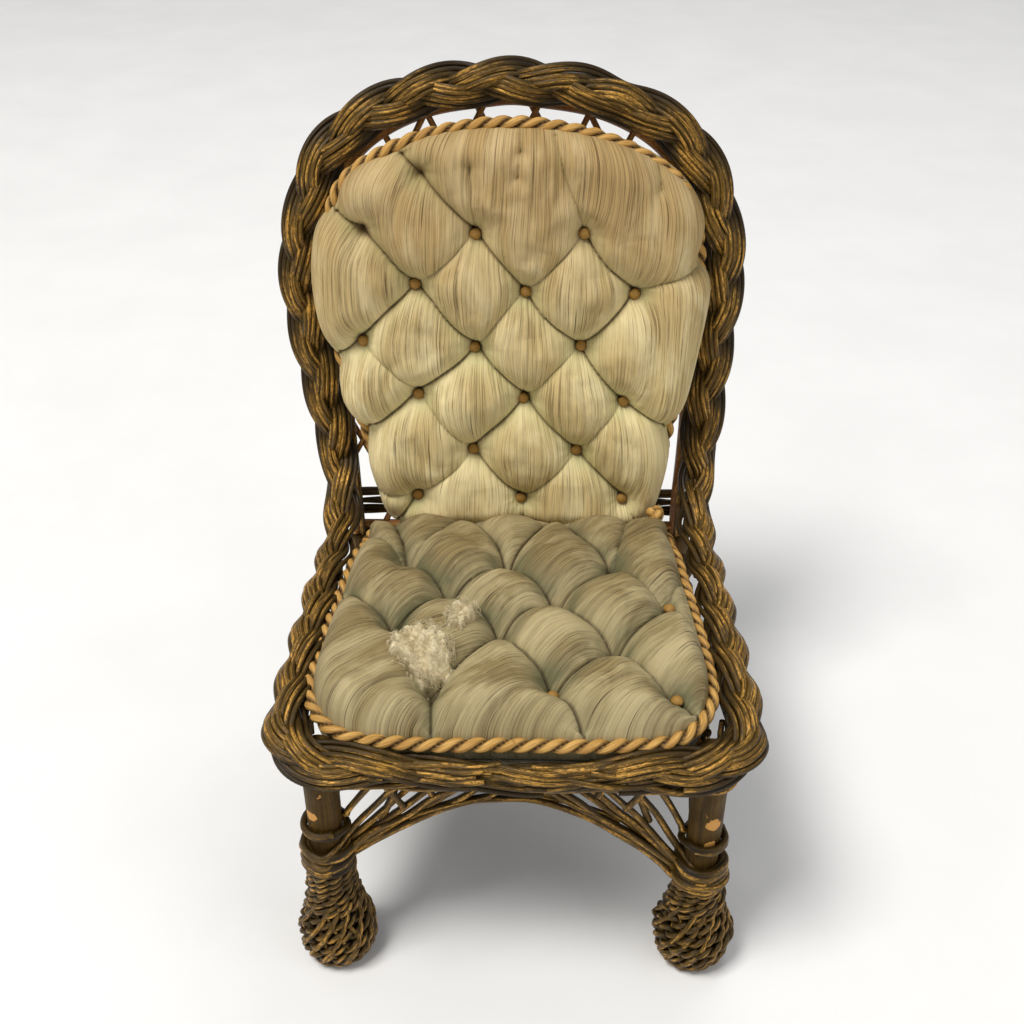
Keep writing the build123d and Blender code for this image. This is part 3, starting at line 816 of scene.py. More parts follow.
def build_rods(name, node, radius, outward, bow):
    """A reed in place of each rod in a CAD node."""
    weave = Weave(8)
    for low, high in cad_rods(node):
        reed_from_rod(weave, low, high, radius, outward, bow)
    weave.build(name, WICKER, "painted_reed", node)


SIDES = {
    "front": ("front_left", "front_right"),
    "rear": ("rear_right", "rear_left"),
    "left": ("rear_left", "front_left"),
    "right": ("front_right", "rear_right"),
}


def side_frame(side):
    """Middle, direction along and direction out of one side of the chair, and half its length."""
    start, end = (np.array([*LEGS[name], 0.0]) for name in SIDES[side])
    along = unit(end - start)
    return (start + end) / 2, along, np.cross(along, [0.0, 0.0, 1.0]), np.linalg.norm(end - start) / 2


def apron_height(x, half, ends):
    """Height of the arch's lower edge at x, which may end lower on one side."""
    drop = APRON_TOP - np.where(x < 0, ends[0], ends[1])
    return APRON_TOP - drop * (np.abs(x) / half) ** 1.75


APRON_STOPS = (-0.62, -0.4, -0.22, -0.05, 0.1, 0.24, 0.4, 0.56, 0.72)


def apron_reed(frame_of_side, ends, sign, number):
    """One reed: round the leg, up along the arch, then over the middle or up to the band."""
    middle, along, outward, reach = frame_of_side
    half = reach - LEG_RADIUS - 1.5
    stop = APRON_STOPS[number] * half
    lift = 1.4 + number * 1.55
    x = np.linspace(half, stop, 16)
    z = apron_height(sign * x, half, ends) + lift
    if number > 0:
        top = BAND_HEIGHTS[0] - 1.5 + 0.4 * (number % 3)
        z = z + (top - z[-1]) * fade(-x, -stop - 0.62 * half, -stop)
    else:
        z = z + 4.5 * fade(-x, 0.0, -stop)
    depth = (1.3, -1.3, 0.2)[number % 3] * sign * np.ones_like(x)
    wrap_side = 1 if number % 2 else -1
    angles = np.radians([300, 255, 210, 165, 125, 85]) * wrap_side
    ring = LEG_RADIUS + 1.9 + 1.1 * (number % 2)
    wrap_x = reach - ring * np.cos(angles)
    wrap_depth = ring * np.sin(angles)
    wrap_z = z[0] + np.linspace(-1.5, -2.0, len(angles)) - number * 0.35
    local_x = sign * np.concatenate([wrap_x, x])
    local_depth = np.concatenate([wrap_depth, depth])
    heights = np.concatenate([wrap_z, z])
    points = middle + local_x[:, None] * along + local_depth[:, None] * outward
    points[:, 2] += heights
    path = curve(points, 1.6)
    count = len(path)
    path[:, 2] += wander(count, 12, 0.6) * fade(np.arange(count), 24, 44)
    return path + outward * (wander(count, 14, 0.5) * fade(np.arange(count), 24, 44))[:, None]


def build_apron(side):
    frame_of_side = side_frame(side)
    outward = frame_of_side[2]
    weave = Weave(8)
    for sign in (-1, 1):
        for number in range(len(APRON_STOPS)):
            path = apron_reed(frame_of_side, APRON_ENDS[side], sign, number)
            taper = 1 - 0.3 * np.linspace(0.0, 1.0, len(path)) ** 3
            weave.add(path, 1.7 * taper * (1 + wander(len(path), 10, 0.06)), outward)
    weave.build(f"{side}_apron", WICKER, "painted_reed", f"{side}_apron_arch")
    build_rods(f"{side}_strut_reeds", f"{side}_apron_struts", 1.7, outward, 0.5)


# ---------------------------------------------------------------- plaited border


def back_line(step):
    """The border's centreline on the back's right side as (x, t), from the heel to the top."""
    lower = [(92.0, -4.0), (94.0, 40.0), (101.0, 105.0)]
    upper = [(100.5, 130.0), (84.0, 175.0), (45.0, 198.5), (0.0, 205.5)]
    return curve(lower + upper, step)


def border_line():
    """The whole centreline, from the front's middle round the right side to the left one."""
    rise = back_line(4.0)
    right_back = on_back(rise[:, 0], rise[:, 1], 0.0)
    left_back = on_back(-rise[::-1, 0], rise[::-1, 1], 0.0)
    front = [(-40.0, -108.4, 129.4), (4.0, -110.0, 130.4), (46.0, -110.2, 131.4), (83.0, -107.6, 133.4)]
    corner = [(96.2, -95.0, 136.4)]
    side = [(x, y, BORDER_HEIGHT) for x, y in ((BORDER_SIDE_X, -60.0), (92.5, 0.0), (90.5, 50.0))]
    right = np.array(front + corner + side)
    left = right[::-1] * [-1.0, 1.0, 1.0]
    points = np.vstack([right, right_back[3::4], left_back[::4][:-1], left])
    return soften(curve(points, 1.5), 6)


def border_faces(line):
    """The way the plait's face looks: forward on the back, up and a little out on the seat."""
    upright = fade(line[:, 2], BORDER_HEIGHT + 2.0, BORDER_HEIGHT + 45.0)[:, None]
    side = np.sign(line[:, :1]) * np.array([1.0, 0.0, 0.0])
    level = unit(np.array([0.0, 0.0, 1.0]) + 0.45 * side)
    front = fade(-line[:, 1], 96.0, 108.0)[:, None]
    level = level * (1 - front) + unit(np.array([0.0, -1.0, 0.8])) * front
    face = soften(level * (1 - upright) + BACK_OUT * upright, 8)
    tangents = unit(np.gradient(line, axis=0))
    face = unit(face - tangents * np.sum(face * tangents, axis=1, keepdims=True))
    return face, np.cross(tangents, face), tangents, upright[:, 0]


def join_place(line):
    """Where the two halves of the plait start, near the upper right of the arch."""
    high = np.where(line[:, 2] > BORDER_HEIGHT + 150.0)[0]
    return high[np.argmin(np.abs(line[high, 0] - PLAIT_JOIN_X))]


def build_plait():
    """Three flat bundles of reeds plaited from a join at the top down to both front corners."""
    line = border_line()
    face, across, tangents, upright = border_faces(line)
    reach = path_length(line)
    from_join = reach - reach[join_place(line)]
    away = np.sqrt(from_join**2 + 7.0**2)
    to_end = np.minimum(reach, reach[-1] - reach)
    spread = 1.06 - 0.06 * upright
    swing = PLAIT_SWING * (0.9 + 0.1 * upright) * (0.6 + 0.4 * fade(to_end, 60.0, 140.0))
    for turn, letter in enumerate("abc"):
        phase = away / PLAIT_PERIOD * FULL_TURN + turn * FULL_TURN / 3
        sideways = swing * np.sin(phase)
        weaving = -PLAIT_DEPTH * (0.75 + 0.25 * upright) * np.sin(2 * phase)
        depth = weaving * (0.5 + 0.5 * fade(to_end, 60.0, 140.0))
        slope = np.arctan(np.gradient(sideways, reach))
        front = 1 - fade(to_end, 100.0, 150.0)
        weave = Weave(8)
        for number in range(PLAIT_REEDS):
            place = (number - (PLAIT_REEDS - 1) / 2) * PLAIT_REED_PITCH * spread
            place = place + wander(len(line), 34, 0.16)
            dome = 1.7 * (1 - (place / 5.0) ** 2) + 0.45 * (number % 2)
            roll = -0.5 * place * sideways / PLAIT_SWING
            lift = depth + dome + roll + wander(len(line), 26, 0.2)
            path = line + across * (sideways + place * np.cos(slope))[:, None]
            path = path - tangents * (place * np.sin(slope))[:, None] + face * lift[:, None]
            path[:, 2] -= front * (1.6 * turn - 1.0)
            starts, stops = RNG.integers(0, 34, 2)
            inner = slice(26 * turn + int(starts), len(line) - 26 * ((turn + 1) % 3) - int(stops))
            path = path[inner]
            # Where a reed dives under the other strands it is painted darker as shade, and lighter where it
            # rides over.
            raised = fade(lift[inner], -2.5, 3.5)
            radius = PLAIT_REED_RADIUS * (1 + wander(len(path), 30, 0.06))
            weave.add(path, radius, face[inner], raised=raised)
        weave.build(f"plait_strand_{letter}", WICKER, "painted_reed", f"border_strand_{letter}")


def build_front_border():
    """Flat bundles that come out of the front corners and cross under the edging."""
    weave = Weave(8)
    for sign in (1, -1):
        for n in range(5):
            reach = -8.0 - 7.0 * n
            points = [
                (95.0 - 0.6 * n, -76.0 - 2.0 * n, 137.6 - 0.3 * n),
                (88.0 - 1.3 * n, -95.0 - 1.2 * n, 136.6 - 0.5 * n),
                (64.0, -106.0 - 0.9 * n, 134.8 - 0.8 * n),
                (30.0, -109.4 - 0.3 * n, 134.6 - 1.5 * n),
                (reach, -111.0 + 0.6 * sign, 133.0 - 1.2 * n),
                (reach - 42.0, -109.8, 135.0 - 1.6 * n),
            ]
            path = curve(np.array(points) * np.array([sign, 1.0, 1.0]), 2.0)
            path[:, 1] += wander(len(path), 12, 0.3)
            path[:, 2] += wander(len(path), 12, 0.35)
            weave.add(path, 1.38 * (1 + wander(len(path), 12, 0.08)), np.array([0.0, -1.0, 0.6]))
    weave.build("front_crossing_reeds", WICKER, "painted_reed", "front_border_reeds")


def build_hoop():
    """The bent rod behind the plait, standing in the rear legs."""
    upper = [(90.4, 100.0), (90.0, 132.0), (74.0, 170.0), (42.0, 190.0), (0.0, 197.0)]
    right = curve([(84.0, -30.0), (84.0, 0.0), *upper], 2.0)
    left = curve([(87.0, -30.0), (88.5, 0.0), *upper], 2.0)[::-1] * np.array([-1.0, 1.0])
    flat = np.vstack([right, left[1:]])
    path = soften(on_back(flat[:, 0], flat[:, 1], -8.5), 3)
    weave = Weave(14)
    weave.add(path, 3.5 * (1 + wander(len(path), 20, 0.015)), BACK_OUT)
    weave.build("bent_hoop", BOW, "bent_rod", "back_hoop")


CANE_OVERLAP = 9.0


def build_lattice(name, node):
    """One lean of the back's crossed canes, with the lowest ends carried down to the lower rail."""
    weave = Weave(8)
    for ends in cad_rods(node):
        low, high = sorted(ends, key=lambda end: end[2])
        if low[2] < LOWER_RAIL_LEVEL + 40.0:
            low = low + (high - low) * (LOWER_RAIL_LEVEL - low[2]) / (high[2] - low[2])
            low[0] = np.clip(low[0], -72.0, 72.0)
            low[1] = LOWER_RAIL_Y
        else:
            low = low - CANE_OVERLAP * unit(high - low)
        high = high + CANE_OVERLAP * unit(high - low)
        reed_from_rod(weave, low, high, 1.45, BACK_OUT)
    weave.build(name, BOW, "painted_reed", node)


def build_lower_rail():
    """The rod across the back's foot, behind the seat cushion."""
    weave = Weave(12)
    ends = [(x, LOWER_RAIL_Y, LOWER_RAIL_LEVEL) for x in (-88.0, 84.0)]
    weave.add(straight(*ends, 60), LOWER_RAIL_RADIUS, BACK_OUT)
    weave.build("back_lower_rod", BOW, "bent_rod", "back_lower_rail")


def build_side_stake(side, sign):
    """The slim stake that stands between the back cushion and the plait."""
    path = straight((83.5, 78.0, 112.0), (86.0, 87.0, 190.0), 40) * [sign, 1.0, 1.0]
    weave = Weave(8)
    weave.add(path, 1.7 * (1 + wander(40, 12, 0.05)), BACK_OUT)
    weave.build(f"{side}_stake_reed", WICKER, "painted_reed", f"{side}_side_stake")


# ---------------------------------------------------------------- edging cord


def twisted_cord(weave, line):
    """Two plump plies twisted together along a closed line."""
    length = np.linalg.norm(np.roll(line, -1, axis=0) - line, axis=1).sum()
    turns = round(length / CORD_TWIST)
    across, other = side_axes(line, True)
    share = np.linspace(0.0, FULL_TURN, len(line), endpoint=False)
    for ply in (0.0, math.pi):
        phase = ply - turns * share
        offset = across * np.cos(phase)[:, None] + other * np.sin(phase)[:, None]
        swell = 1 + 0.05 * np.sin(share * 23 + ply)
        weave.add(line + offset * 1.35, 1.85 * swell, offset, closed=True)


def build_cord(name, line, node):
    weave = Weave(10)
    twisted_cord(weave, line)
    weave.build(name, EDGING, "golden_edging", node)


def build_knot():
    """The knotted, frayed end of the back's edging."""
    place = np.array([68.0, 46.0, 149.5])
    t = np.linspace(0.0, FULL_TURN, 90, endpoint=False)
    loop = np.stack([np.sin(t) + 2 * np.sin(2 * t), np.cos(t) - 2 * np.cos(2 * t), -1.6 * np.sin(3 * t)], 1)
    weave = Weave(8)
    weave.add(place + loop * 0.88, 2.2, loop, closed=True)
    for n in range(26):
        way = unit(RNG.normal(0.0, 1.0, 3) + np.array([0.3, -0.4, 0.4]))
        bend = RNG.normal(0.0, 1.2, 3)
        share = np.linspace(0.0, 1.0, 9)[:, None]
        path = place + way * (2.2 + 2.6 * share) + bend * share**2
        weave.add(path, 0.22 - 0.1 * share[:, 0], way)
    weave.build("edging_knot", EDGING, "golden_edging", "cord_knot")


# ---------------------------------------------------------------- cushion outlines


def seat_edge(step):
    """Centreline of the seat's edging."""
    front = [(-44.0, -103.2), (0.0, -103.5), (44.0, -103.4)]
    right = [(68.0, -98.5), (82.0, -80.0), (83.5, -52.0), (79.5, -4.0), (75.0, 32.0), (62.0, 50.0)]
    left = [(-62.0, 50.0), (-75.0, 34.0), (-81.5, 2.0), (-87.0, -52.0), (-86.5, -79.0), (-72.0, -98.0)]
    flat = curve([*front[1:], *right, *left, front[0]], step, closed=True)
    return np.column_stack([flat, SEAT_CORD_HEIGHT - 5.0 * fade(flat[:, 1], 24.0, 42.0)])


def back_edge_flat(step):
    """The back cushion's edge as (x, t)."""
    lower = [(50.0, -11.5), (66.0, -7.0), (75.0, 25.0), (83.0, 60.0), (89.5, 95.0), (91.5, 118.0)]
    upper = [(88.0, 142.0), (77.0, 162.0), (56.0, 176.5), (28.0, 185.5)]
    right = lower + upper
    left = [(-x, t) for x, t in reversed(right)]
    return curve([(0.0, -12.0), *right, (0.0, 188.5), *left], step, closed=True)


def back_edge(step):
    """Centreline of the back's edging, which tucks in behind the cushion below the shoulders."""
    flat = back_edge_flat(step)
    tucked = 1 - fade(flat[:, 1], 140.0, 168.0)
    x = flat[:, 0] * (1 - 0.025 * tucked)
    return on_back(x, flat[:, 1], BACK_CORD_LEVEL - 5.5 * tucked)


# ---------------------------------------------------------------- cushions


def disc_grid(rings):
    """A square grid seen as rings round a centre: each vertex's ring number and its angle."""
    a, b = np.meshgrid(np.arange(-rings, rings + 1), np.arange(-rings, rings + 1), indexing="ij")
    ring = np.maximum(np.abs(a), np.abs(b))
    wide = np.abs(a) >= np.abs(b)
    base_a, base_b = np.where(a == 0, 1, a), np.where(b == 0, 1, b)
    angle = np.where(
        wide,
        math.pi / 4 * b / base_a + np.where(a < 0, math.pi, 0.0),
        math.pi / 2 - math.pi / 4 * a / base_b + np.where(b < 0, math.pi, 0.0),
    )
    return ring, angle


def edge_reach(outline, centre, angle):
    """How far the outline is from the centre in each direction."""
    away = outline - centre
    bearing = np.arctan2(away[:, 1], away[:, 0])
    order = np.argsort(bearing)
    length = np.linalg.norm(away, axis=1)
    return np.interp(angle, bearing[order], length[order], period=FULL_TURN)


def segment_distance(x, y, start, end):
    """Distance to a short line, and how far along it, from 0 to 1."""
    run_x, run_y = end[0] - start[0], end[1] - start[1]
    share = ((x - start[0]) * run_x + (y - start[1]) * run_y) / (run_x**2 + run_y**2)
    share = np.clip(share, 0.0, 1.0)
    return np.hypot(x - start[0] - share * run_x, y - start[1] - share * run_y), share


class Cushion:
    """A tufted pad as a height field over its outline, with a rounded rim and a closed back."""

    def __init__(self, outline, centre, levels, creases, tufts, style):
        self.outline, self.centre = outline, np.asarray(centre, float)
        self.rim, self.top, self.bottom = levels
        self.creases, self.tufts, self.style = creases, tufts, style

    def pull(self, x, y):
        """How far creases and tufts pull the cloth down, and 1 along each crease's line, nearly so at each
        tuft; the silk darkens there as painted shade.
        """
        seed = self.style["seed"]
        bend_x = x + CREASE_WANDER * value_noise(x / 21.0, y / 21.0, seed)
        bend_y = y + CREASE_WANDER * value_noise(x / 21.0, y / 21.0, seed + 1)
        lowering, line = np.zeros_like(x), np.zeros_like(x)
        for start, end, depth, reach in self.creases:
            distance, share = segment_distance(bend_x, bend_y, start, end)
            near = np.clip(1 - distance / reach, 0.0, 1.0)
            sunk = depth * (0.8 + 0.25 * (2 * share - 1) ** 2)
            lowering += (sunk * (1 - np.sqrt(1 - near**2 * 0.9995))) ** CREASE_BLEND
            line = np.maximum(line, depth / STRONG * np.exp(-((distance / 0.8) ** 2)))
        lowering = lowering ** (1 / CREASE_BLEND)
        for place, depth in self.tufts:
            distance = np.hypot(x - place[0], y - place[1])
            lowering += depth * np.exp(-((distance / 8.5) ** 1.6))
            angle = np.arctan2(y - place[1], x - place[0])
            pleats = np.abs(np.sin(4.5 * angle + place[0])) * np.exp(-((distance / 8.0) ** 2))
            lowering += 0.6 * pleats * fade(distance, 2.0, 4.0)
            line = np.maximum(line, 0.9 * np.exp(-((distance / 4.2) ** 2)))
        return lowering, np.clip(line, 0.0, 1.0)

    def height(self, x, y, inset):
        """Height of the cloth, before any simulation."""
        style = self.style
        lowering, line = self.pull(x, y)
        puff = self.top - self.rim + style["crown"] * (1 - ((x - self.centre[0]) / CROWN_REACH) ** 2)
        puff = puff * (1 - style["rear_fall"] * fade(y, 0.0, REAR_FALL_LENGTH))
        rise = np.sqrt(1 - np.clip(1 - inset / style["rim_width"], 0.0, 1.0) ** 2)
        cloth = self.rim + puff * rise - lowering * fade(inset, -0.5, 2.5)
        floor = self.rim - 1.5 + 0.1 * (puff - lowering)
        cloth = np.maximum(cloth, floor)
        return cloth + self.wrinkles(x, y) * rise * (1 - 0.7 * line)

    def wrinkles(self, x, y):
        """Slack folds that run with the threads."""
        across, along = self.threads(x, y)
        warp = across + 1.6 * value_noise(across / 16.0, along / 30.0, 31)
        ridge = 1 - np.abs(value_noise(warp / 3.6, along / 48.0, 32))
        where = fade(value_noise(across / 24.0, along / 30.0, 33), -0.2, 0.5)
        return 0.8 * (ridge**3 - 0.4) * where + 0.16 * value_noise(warp / 1.7, along / 34.0, 34)

    def threads(self, x, y):
        """Coordinates across and along the cloth's threads, which draw together at each tuft."""
        turn = self.style["thread_angle"]
        across = x * math.cos(turn) - y * math.sin(turn)
        along = x * math.sin(turn) + y * math.cos(turn)
        for (place_x, place_y), depth in self.tufts:
            away = (x - place_x) * math.cos(turn) - (y - place_y) * math.sin(turn)
            across = across + 0.35 * away * np.exp(-(((x - place_x) ** 2 + (y - place_y) ** 2) / 12.0**2))
        return across, along

    def surface(self, stride=1):
        """Local points of the whole cushion, with its crests, crease lines and torn places."""
        rings = CUSHION_TOP_RINGS + CUSHION_SIDE_RINGS
        ring, angle = disc_grid(rings)
        ring, angle = ring[::stride, ::stride], angle[::stride, ::stride]
        share = np.minimum(ring / CUSHION_TOP_RINGS, 1.0)
        reach = edge_reach(self.outline, self.centre, angle)
        reach = reach + self.scallop(angle, reach)
        x = self.centre[0] + share * reach * np.cos(angle)
        y = self.centre[1] + share * reach * np.sin(angle)
        inset = (1 - share) * reach * 0.93
        z = self.height(x, y, inset)
        torn = self.torn(x, y)
        z = z + torn * (1.6 + stuffing_lumps(x, y))
        down = np.clip((ring - CUSHION_TOP_RINGS) / CUSHION_SIDE_RINGS, 0.0, 1.0)
        bulge = 1.4 * np.sin(math.pi * down) - 2.0 * down**3
        x = x + bulge * np.cos(angle)
        y = y + bulge * np.sin(angle)
        z = z * (1 - down) + self.bottom * down
        lowering, line = self.pull(x, y)
        crest = np.clip(1 - lowering / 11.0, 0.0, 1.0) * (1 - down)
        return np.stack([x, y, z], -1), crest, line * (1 - down), torn

    def scallop(self, angle, reach):
        """The edge swells between the creases that meet it and is pinched where they do."""
        x = self.centre[0] + reach * np.cos(angle)
        y = self.centre[1] + reach * np.sin(angle)
        pinch = np.zeros_like(x)
        for place in self.style["pinches"]:
            pinch = np.maximum(pinch, np.exp(-((np.hypot(x - place[0], y - place[1]) / 9.0) ** 1.5)))
        return self.style["swell"] * np.abs(np.cos(angle)) * (1 - 2.0 * pinch)

    def torn(self, x, y):
        """1 where the stuffing shows."""
        total = np.zeros_like(x)
        ragged = 0.28 * value_noise(x / 2.6, y / 2.6, 61) + 0.15 * value_noise(x / 1.0, y / 1.0, 62)
        for (cx, cy), (rx, ry), turn in self.style["torn"]:
            dx, dy = x - cx, y - cy
            u = (dx * math.cos(turn) + dy * math.sin(turn)) / rx
            v = (dy * math.cos(turn) - dx * math.sin(turn)) / ry
            total = np.maximum(total, 1 - fade(np.hypot(u, v) + ragged, 0.85, 1.05))
        return total


def stuffing_lumps(x, y):
    """Height of the loose stuffing's soft lumps."""
    broad = np.abs(value_noise(x / 5.0, y / 5.0, 71))
    small = np.abs(value_noise(x / 2.2, y / 2.2, 73))
    return 3.6 * broad + 1.4 * small + 0.5 * value_noise(x / 1.0, y / 1.0, 72)


def grid_faces(side):
    spots = np.arange(side * side).reshape(side, side)
    quads = [spots[:-1, :-1], spots[1:, :-1], spots[1:, 1:], spots[:-1, 1:]]
    return np.stack(quads, axis=-1).reshape(-1, 4).tolist()


CLOTH = {
    "vertex_group_mass": "pins",
    "quality": 6,
    "mass": 0.05,
    "tension_stiffness": 12.0,
    "compression_stiffness": 12.0,
    "bending_stiffness": 0.02,
    "shrink_min": -0.03,
    "use_pressure": True,
    "uniform_pressure_force": 4.0,
}
CLOTH_FRAMES = 20
PIN_LEVELS = 10
IRON_PASSES = 3


def settle(cushion, place):
    """Lets a coarse copy of the cloth blow up between its creases, and returns how it moved."""
    points, crest, _, _ = cushion.surface(SIM_STRIDE)
    flat = place(points.reshape(-1, 3))
    mesh = bpy.data.meshes.new("settling")
    mesh.from_pydata(flat * MM, [], grid_faces(len(points)))
    cloth = put_in_scene("settling", mesh)
    pins = cloth.vertex_groups.new(name="pins")
    ring = disc_grid(CUSHION_TOP_RINGS + CUSHION_SIDE_RINGS)[0][::SIM_STRIDE, ::SIM_STRIDE]
    rim = fade(ring.ravel() / CUSHION_TOP_RINGS, 0.6, 0.98)
    held = np.maximum(np.clip(1.15 - crest.ravel() * 1.5, 0.0, 1.0), rim)
    for level in range(PIN_LEVELS + 1):
        chosen = np.where(np.round(held * PIN_LEVELS) == level)[0].tolist()
        pins.add(chosen, level / PIN_LEVELS, "REPLACE")
    settings = cloth.modifiers.new("cloth", "CLOTH").settings
    for name, value in CLOTH.items():
        setattr(settings, name, value)
    settings.effector_weights.gravity = 0.0
    scene = bpy.context.scene
    for number in range(1, CLOTH_FRAMES + 1):
        scene.frame_set(number)
        seen = cloth.evaluated_get(bpy.context.evaluated_depsgraph_get()).data
    moved = np.empty(len(flat) * 3)
    seen.vertices.foreach_get("co", moved)
    scene.frame_set(1)
    bpy.data.objects.remove(cloth)
    shift = moved.reshape(-1, 3) / MM - flat
    length = np.linalg.norm(shift, axis=1, keepdims=True)
    shift *= np.minimum(1.0, SETTLE_LIMIT / np.maximum(length, 1e-6))
    return ironed(shift.reshape(points.shape), IRON_PASSES)


def ironed(grid, passes):
    """A grid of values with its smallest ripples averaged away."""
    for _ in range(passes):
        wide = np.pad(grid, ((1, 1), (1, 1), (0, 0)), "edge")
        around = wide[:-2, 1:-1] + wide[2:, 1:-1] + wide[1:-1, :-2] + wide[1:-1, 2:]
        grid = (around + 4 * grid) / 8
    return grid


def refine(coarse, side):
    """A coarse grid of values spread smoothly over a finer one."""
    place = np.linspace(0.0, len(coarse) - 1.0, side)
    low = np.minimum(place.astype(int), len(coarse) - 2)
    share = (place - low)[:, None, None]
    rows = coarse[low] * (1 - share) + coarse[low + 1] * share
    share = share[:, 0]
    return rows[:, low] * (1 - share) + rows[:, low + 1] * share


def build_cushion(name, node, look, cushion, place):
    points, crest, line, torn = cushion.surface()
    side = len(points)
    verts = place(points.reshape(-1, 3))
    verts = verts + refine(settle(cushion, place), side).reshape(-1, 3)
    border = np.arange(side * side).reshape(side, side)
    loop = np.concatenate([border[:-1, 0], border[-1, :-1], border[:0:-1, -1], border[0, :0:-1]])
    middle = len(verts)
    verts = np.vstack([verts, verts[loop].mean(axis=0)])
    faces = grid_faces(side) + [[int(b), int(a), middle] for a, b in zip(loop, np.roll(loop, -1))]
    x, y, z = points.reshape(-1, 3).T
    across, along = cushion.threads(x, y)
    drop = cushion.style["side_drop"] * (cushion.top - z)
    across = across + drop * np.clip(across / 90.0, -1.0, 1.0)
    weave = np.column_stack([across, along, 0 * along])
    attributes = {"weave": np.vstack([weave, weave[-1:]])}
    tone_shift = fade(y, *cushion.style["browner_span"])
    for title, values in (("crest", crest), ("fold", line), ("torn", torn), ("tone_shift", tone_shift)):
        attributes[title] = np.append(values.ravel(), 0.0)
    make_piece(name, verts, faces, look, [node], attributes)


def crease_list(spots, pairs, depth, reach):
    """Creases between named spots, from pairs written as one string."""
    names = pairs.split()
    return [(spots[start], spots[end], depth, reach) for start, end in zip(names[::2], names[1::2])]


STRONG, SOFT = 12.0, 7.0


def back_cushion():
    tufts = {
        "a1": (-20.5, 140), "a2": (29.5, 141),
        "b1": (-49, 116), "b2": (3, 113), "b3": (54, 112),
        "c0": (-74.5, 88), "c1": (-21.5, 85), "c2": (29.5, 86),
        "d1": (-49, 61), "d2": (2, 59), "d3": (51, 58),
        "e1": (-22.5, 32), "e2": (28.5, 32),
        "f1": (-51, 7), "f2": (1, 6), "f3": (52, 6),
    }
    lost = {"m1": (-46, 168.5), "m2": (-72.5, 142)}
    edge = {
        "top": (0, 190), "slit": (1.5, 179), "pleat": (0.5, 169), "up_a1": (-23, 170), "up_a2": (16, 188),
        "shoulder": (-60, 182), "left_high": (-90, 155), "left_mid": (-93, 76), "left_low": (-78, 38),
        "right_high": (60, 185), "right_fold": (64, 160), "right_mid": (88, 129), "right_low": (78, 40),
        "foot_left": (-66, -14), "foot_mid": (1, -14), "foot_right": (66, -14), "side_left": (-74, 7),
    }
    spots = {name: (x - lean(t), t) for name, (x, t) in {**tufts, **lost, **edge}.items()}
    strong = """m1 shoulder  m1 a1  m2 left_high  m2 b1  a1 b2  a2 b3  b1 c1  b2 c2  b3 c2  c0 left_mid
        c1 d1  c1 d2  c2 d3  d3 right_low  d1 left_low  d2 e1  d2 e2  e1 f2  e2 f3  f1 foot_left  c0 b1"""
    soft = """a1 b1  a2 b2  b2 c1  c2 d2  d1 e1  d3 e2  e2 f2  e1 f1  b3 right_mid  a1 up_a1  a2 up_a2
        right_fold right_high  f2 foot_mid  f3 foot_right  f1 side_left  c0 d1"""
    creases = crease_list(spots, strong, STRONG, 21.0) + crease_list(spots, soft, SOFT, 18.0)
    creases += crease_list(spots, "top slit", 8.0, 10.0) + crease_list(spots, "slit pleat", 4.5, 9.0)
    dimples = [(spots[name], 3.2) for name in tufts] + [(spots[name], 3.6) for name in lost]
    pinched = ("left_high", "left_mid", "left_low", "right_mid", "right_low", "shoulder")
    style = {
        "seed": 11, "crown": 1.5, "rim_width": 13.0, "rear_fall": 0.0, "thread_angle": 0.03, "torn": [],
        "browner_span": (60.0, 175.0), "swell": 4.6, "pinches": [spots[name] for name in pinched],
        "side_drop": 0.7,
    }
    outline = shrunk(back_edge_flat(0.8), CUSHION_INSET)
    cushion = Cushion(outline, (0.0, 90.0), (BACK_CORD_LEVEL, 26.5, -3.2), creases, dimples, style)
    return cushion, [spots[name] for name in tufts]


def seat_cushion():
    buttons = {"a2": (15.5, -81), "a3": (67, -84), "c3": (69, -25)}
    bare = {
        "a1": (-35, -82),
        "b1": (-54, -41), "b2": (-6.5, -45), "b3": (42, -56),
        "c1": (-32, -18), "c2": (17, -23),
        "d1": (-53, 5), "d2": (-4, 3), "d3": (44, 2),
    }
    edge = {
        "front1": (-33, -106), "front2": (30, -106), "front3": (82, -92),
        "left_front": (-82, -12), "left_rear": (-78, 30),
        "rear0": (-64, 50), "rear1": (-26, 54), "rear2": (19, 54), "rear3": (56, 54),
        "right_rear": (80, 4), "right_front": (88, -50),
    }
    tufts = {**buttons, **bare}
    spots = {**tufts, **edge}
    strong = """a1 b2  a2 b2  a2 b3  a3 b3  b1 c1  b2 c1  b2 c2  b3 c2  b3 c3  c1 d1  c1 d2  c2 d2  c2 d3
        d1 rear0  d2 rear1  d2 rear2  d3 rear2  b1 left_front  a1 front1  a2 front2  a3 front3"""
    soft = "a1 b1  d1 rear1  c3 d3  d3 rear3  c3 right_rear  d1 left_rear  c3 right_front"
    creases = crease_list(spots, strong, 13.5, 22.0) + crease_list(spots, soft, 8.0, 20.0)
    dimples = [(place, 3.6) for place in tufts.values()]
    torn = [((-40.0, -66.0), (12.0, 15.0), 0.5), ((-24.0, -45.0), (5.0, 10.0), -0.6)]
    style = {
        "seed": 21, "crown": 2.0, "rim_width": 11.0, "rear_fall": 0.42, "thread_angle": 0.87, "torn": torn,
        "browner_span": (-80.0, 300.0), "swell": 0.0, "pinches": [], "side_drop": 0.0,
    }
    outline = shrunk(seat_edge(0.8)[:, :2], CUSHION_INSET)
    levels = (SEAT_CORD_HEIGHT, 158.0, 127.3)
    cushion = Cushion(outline, (0.0, -27.0), levels, creases, dimples, style)
    return cushion, list(buttons.values())


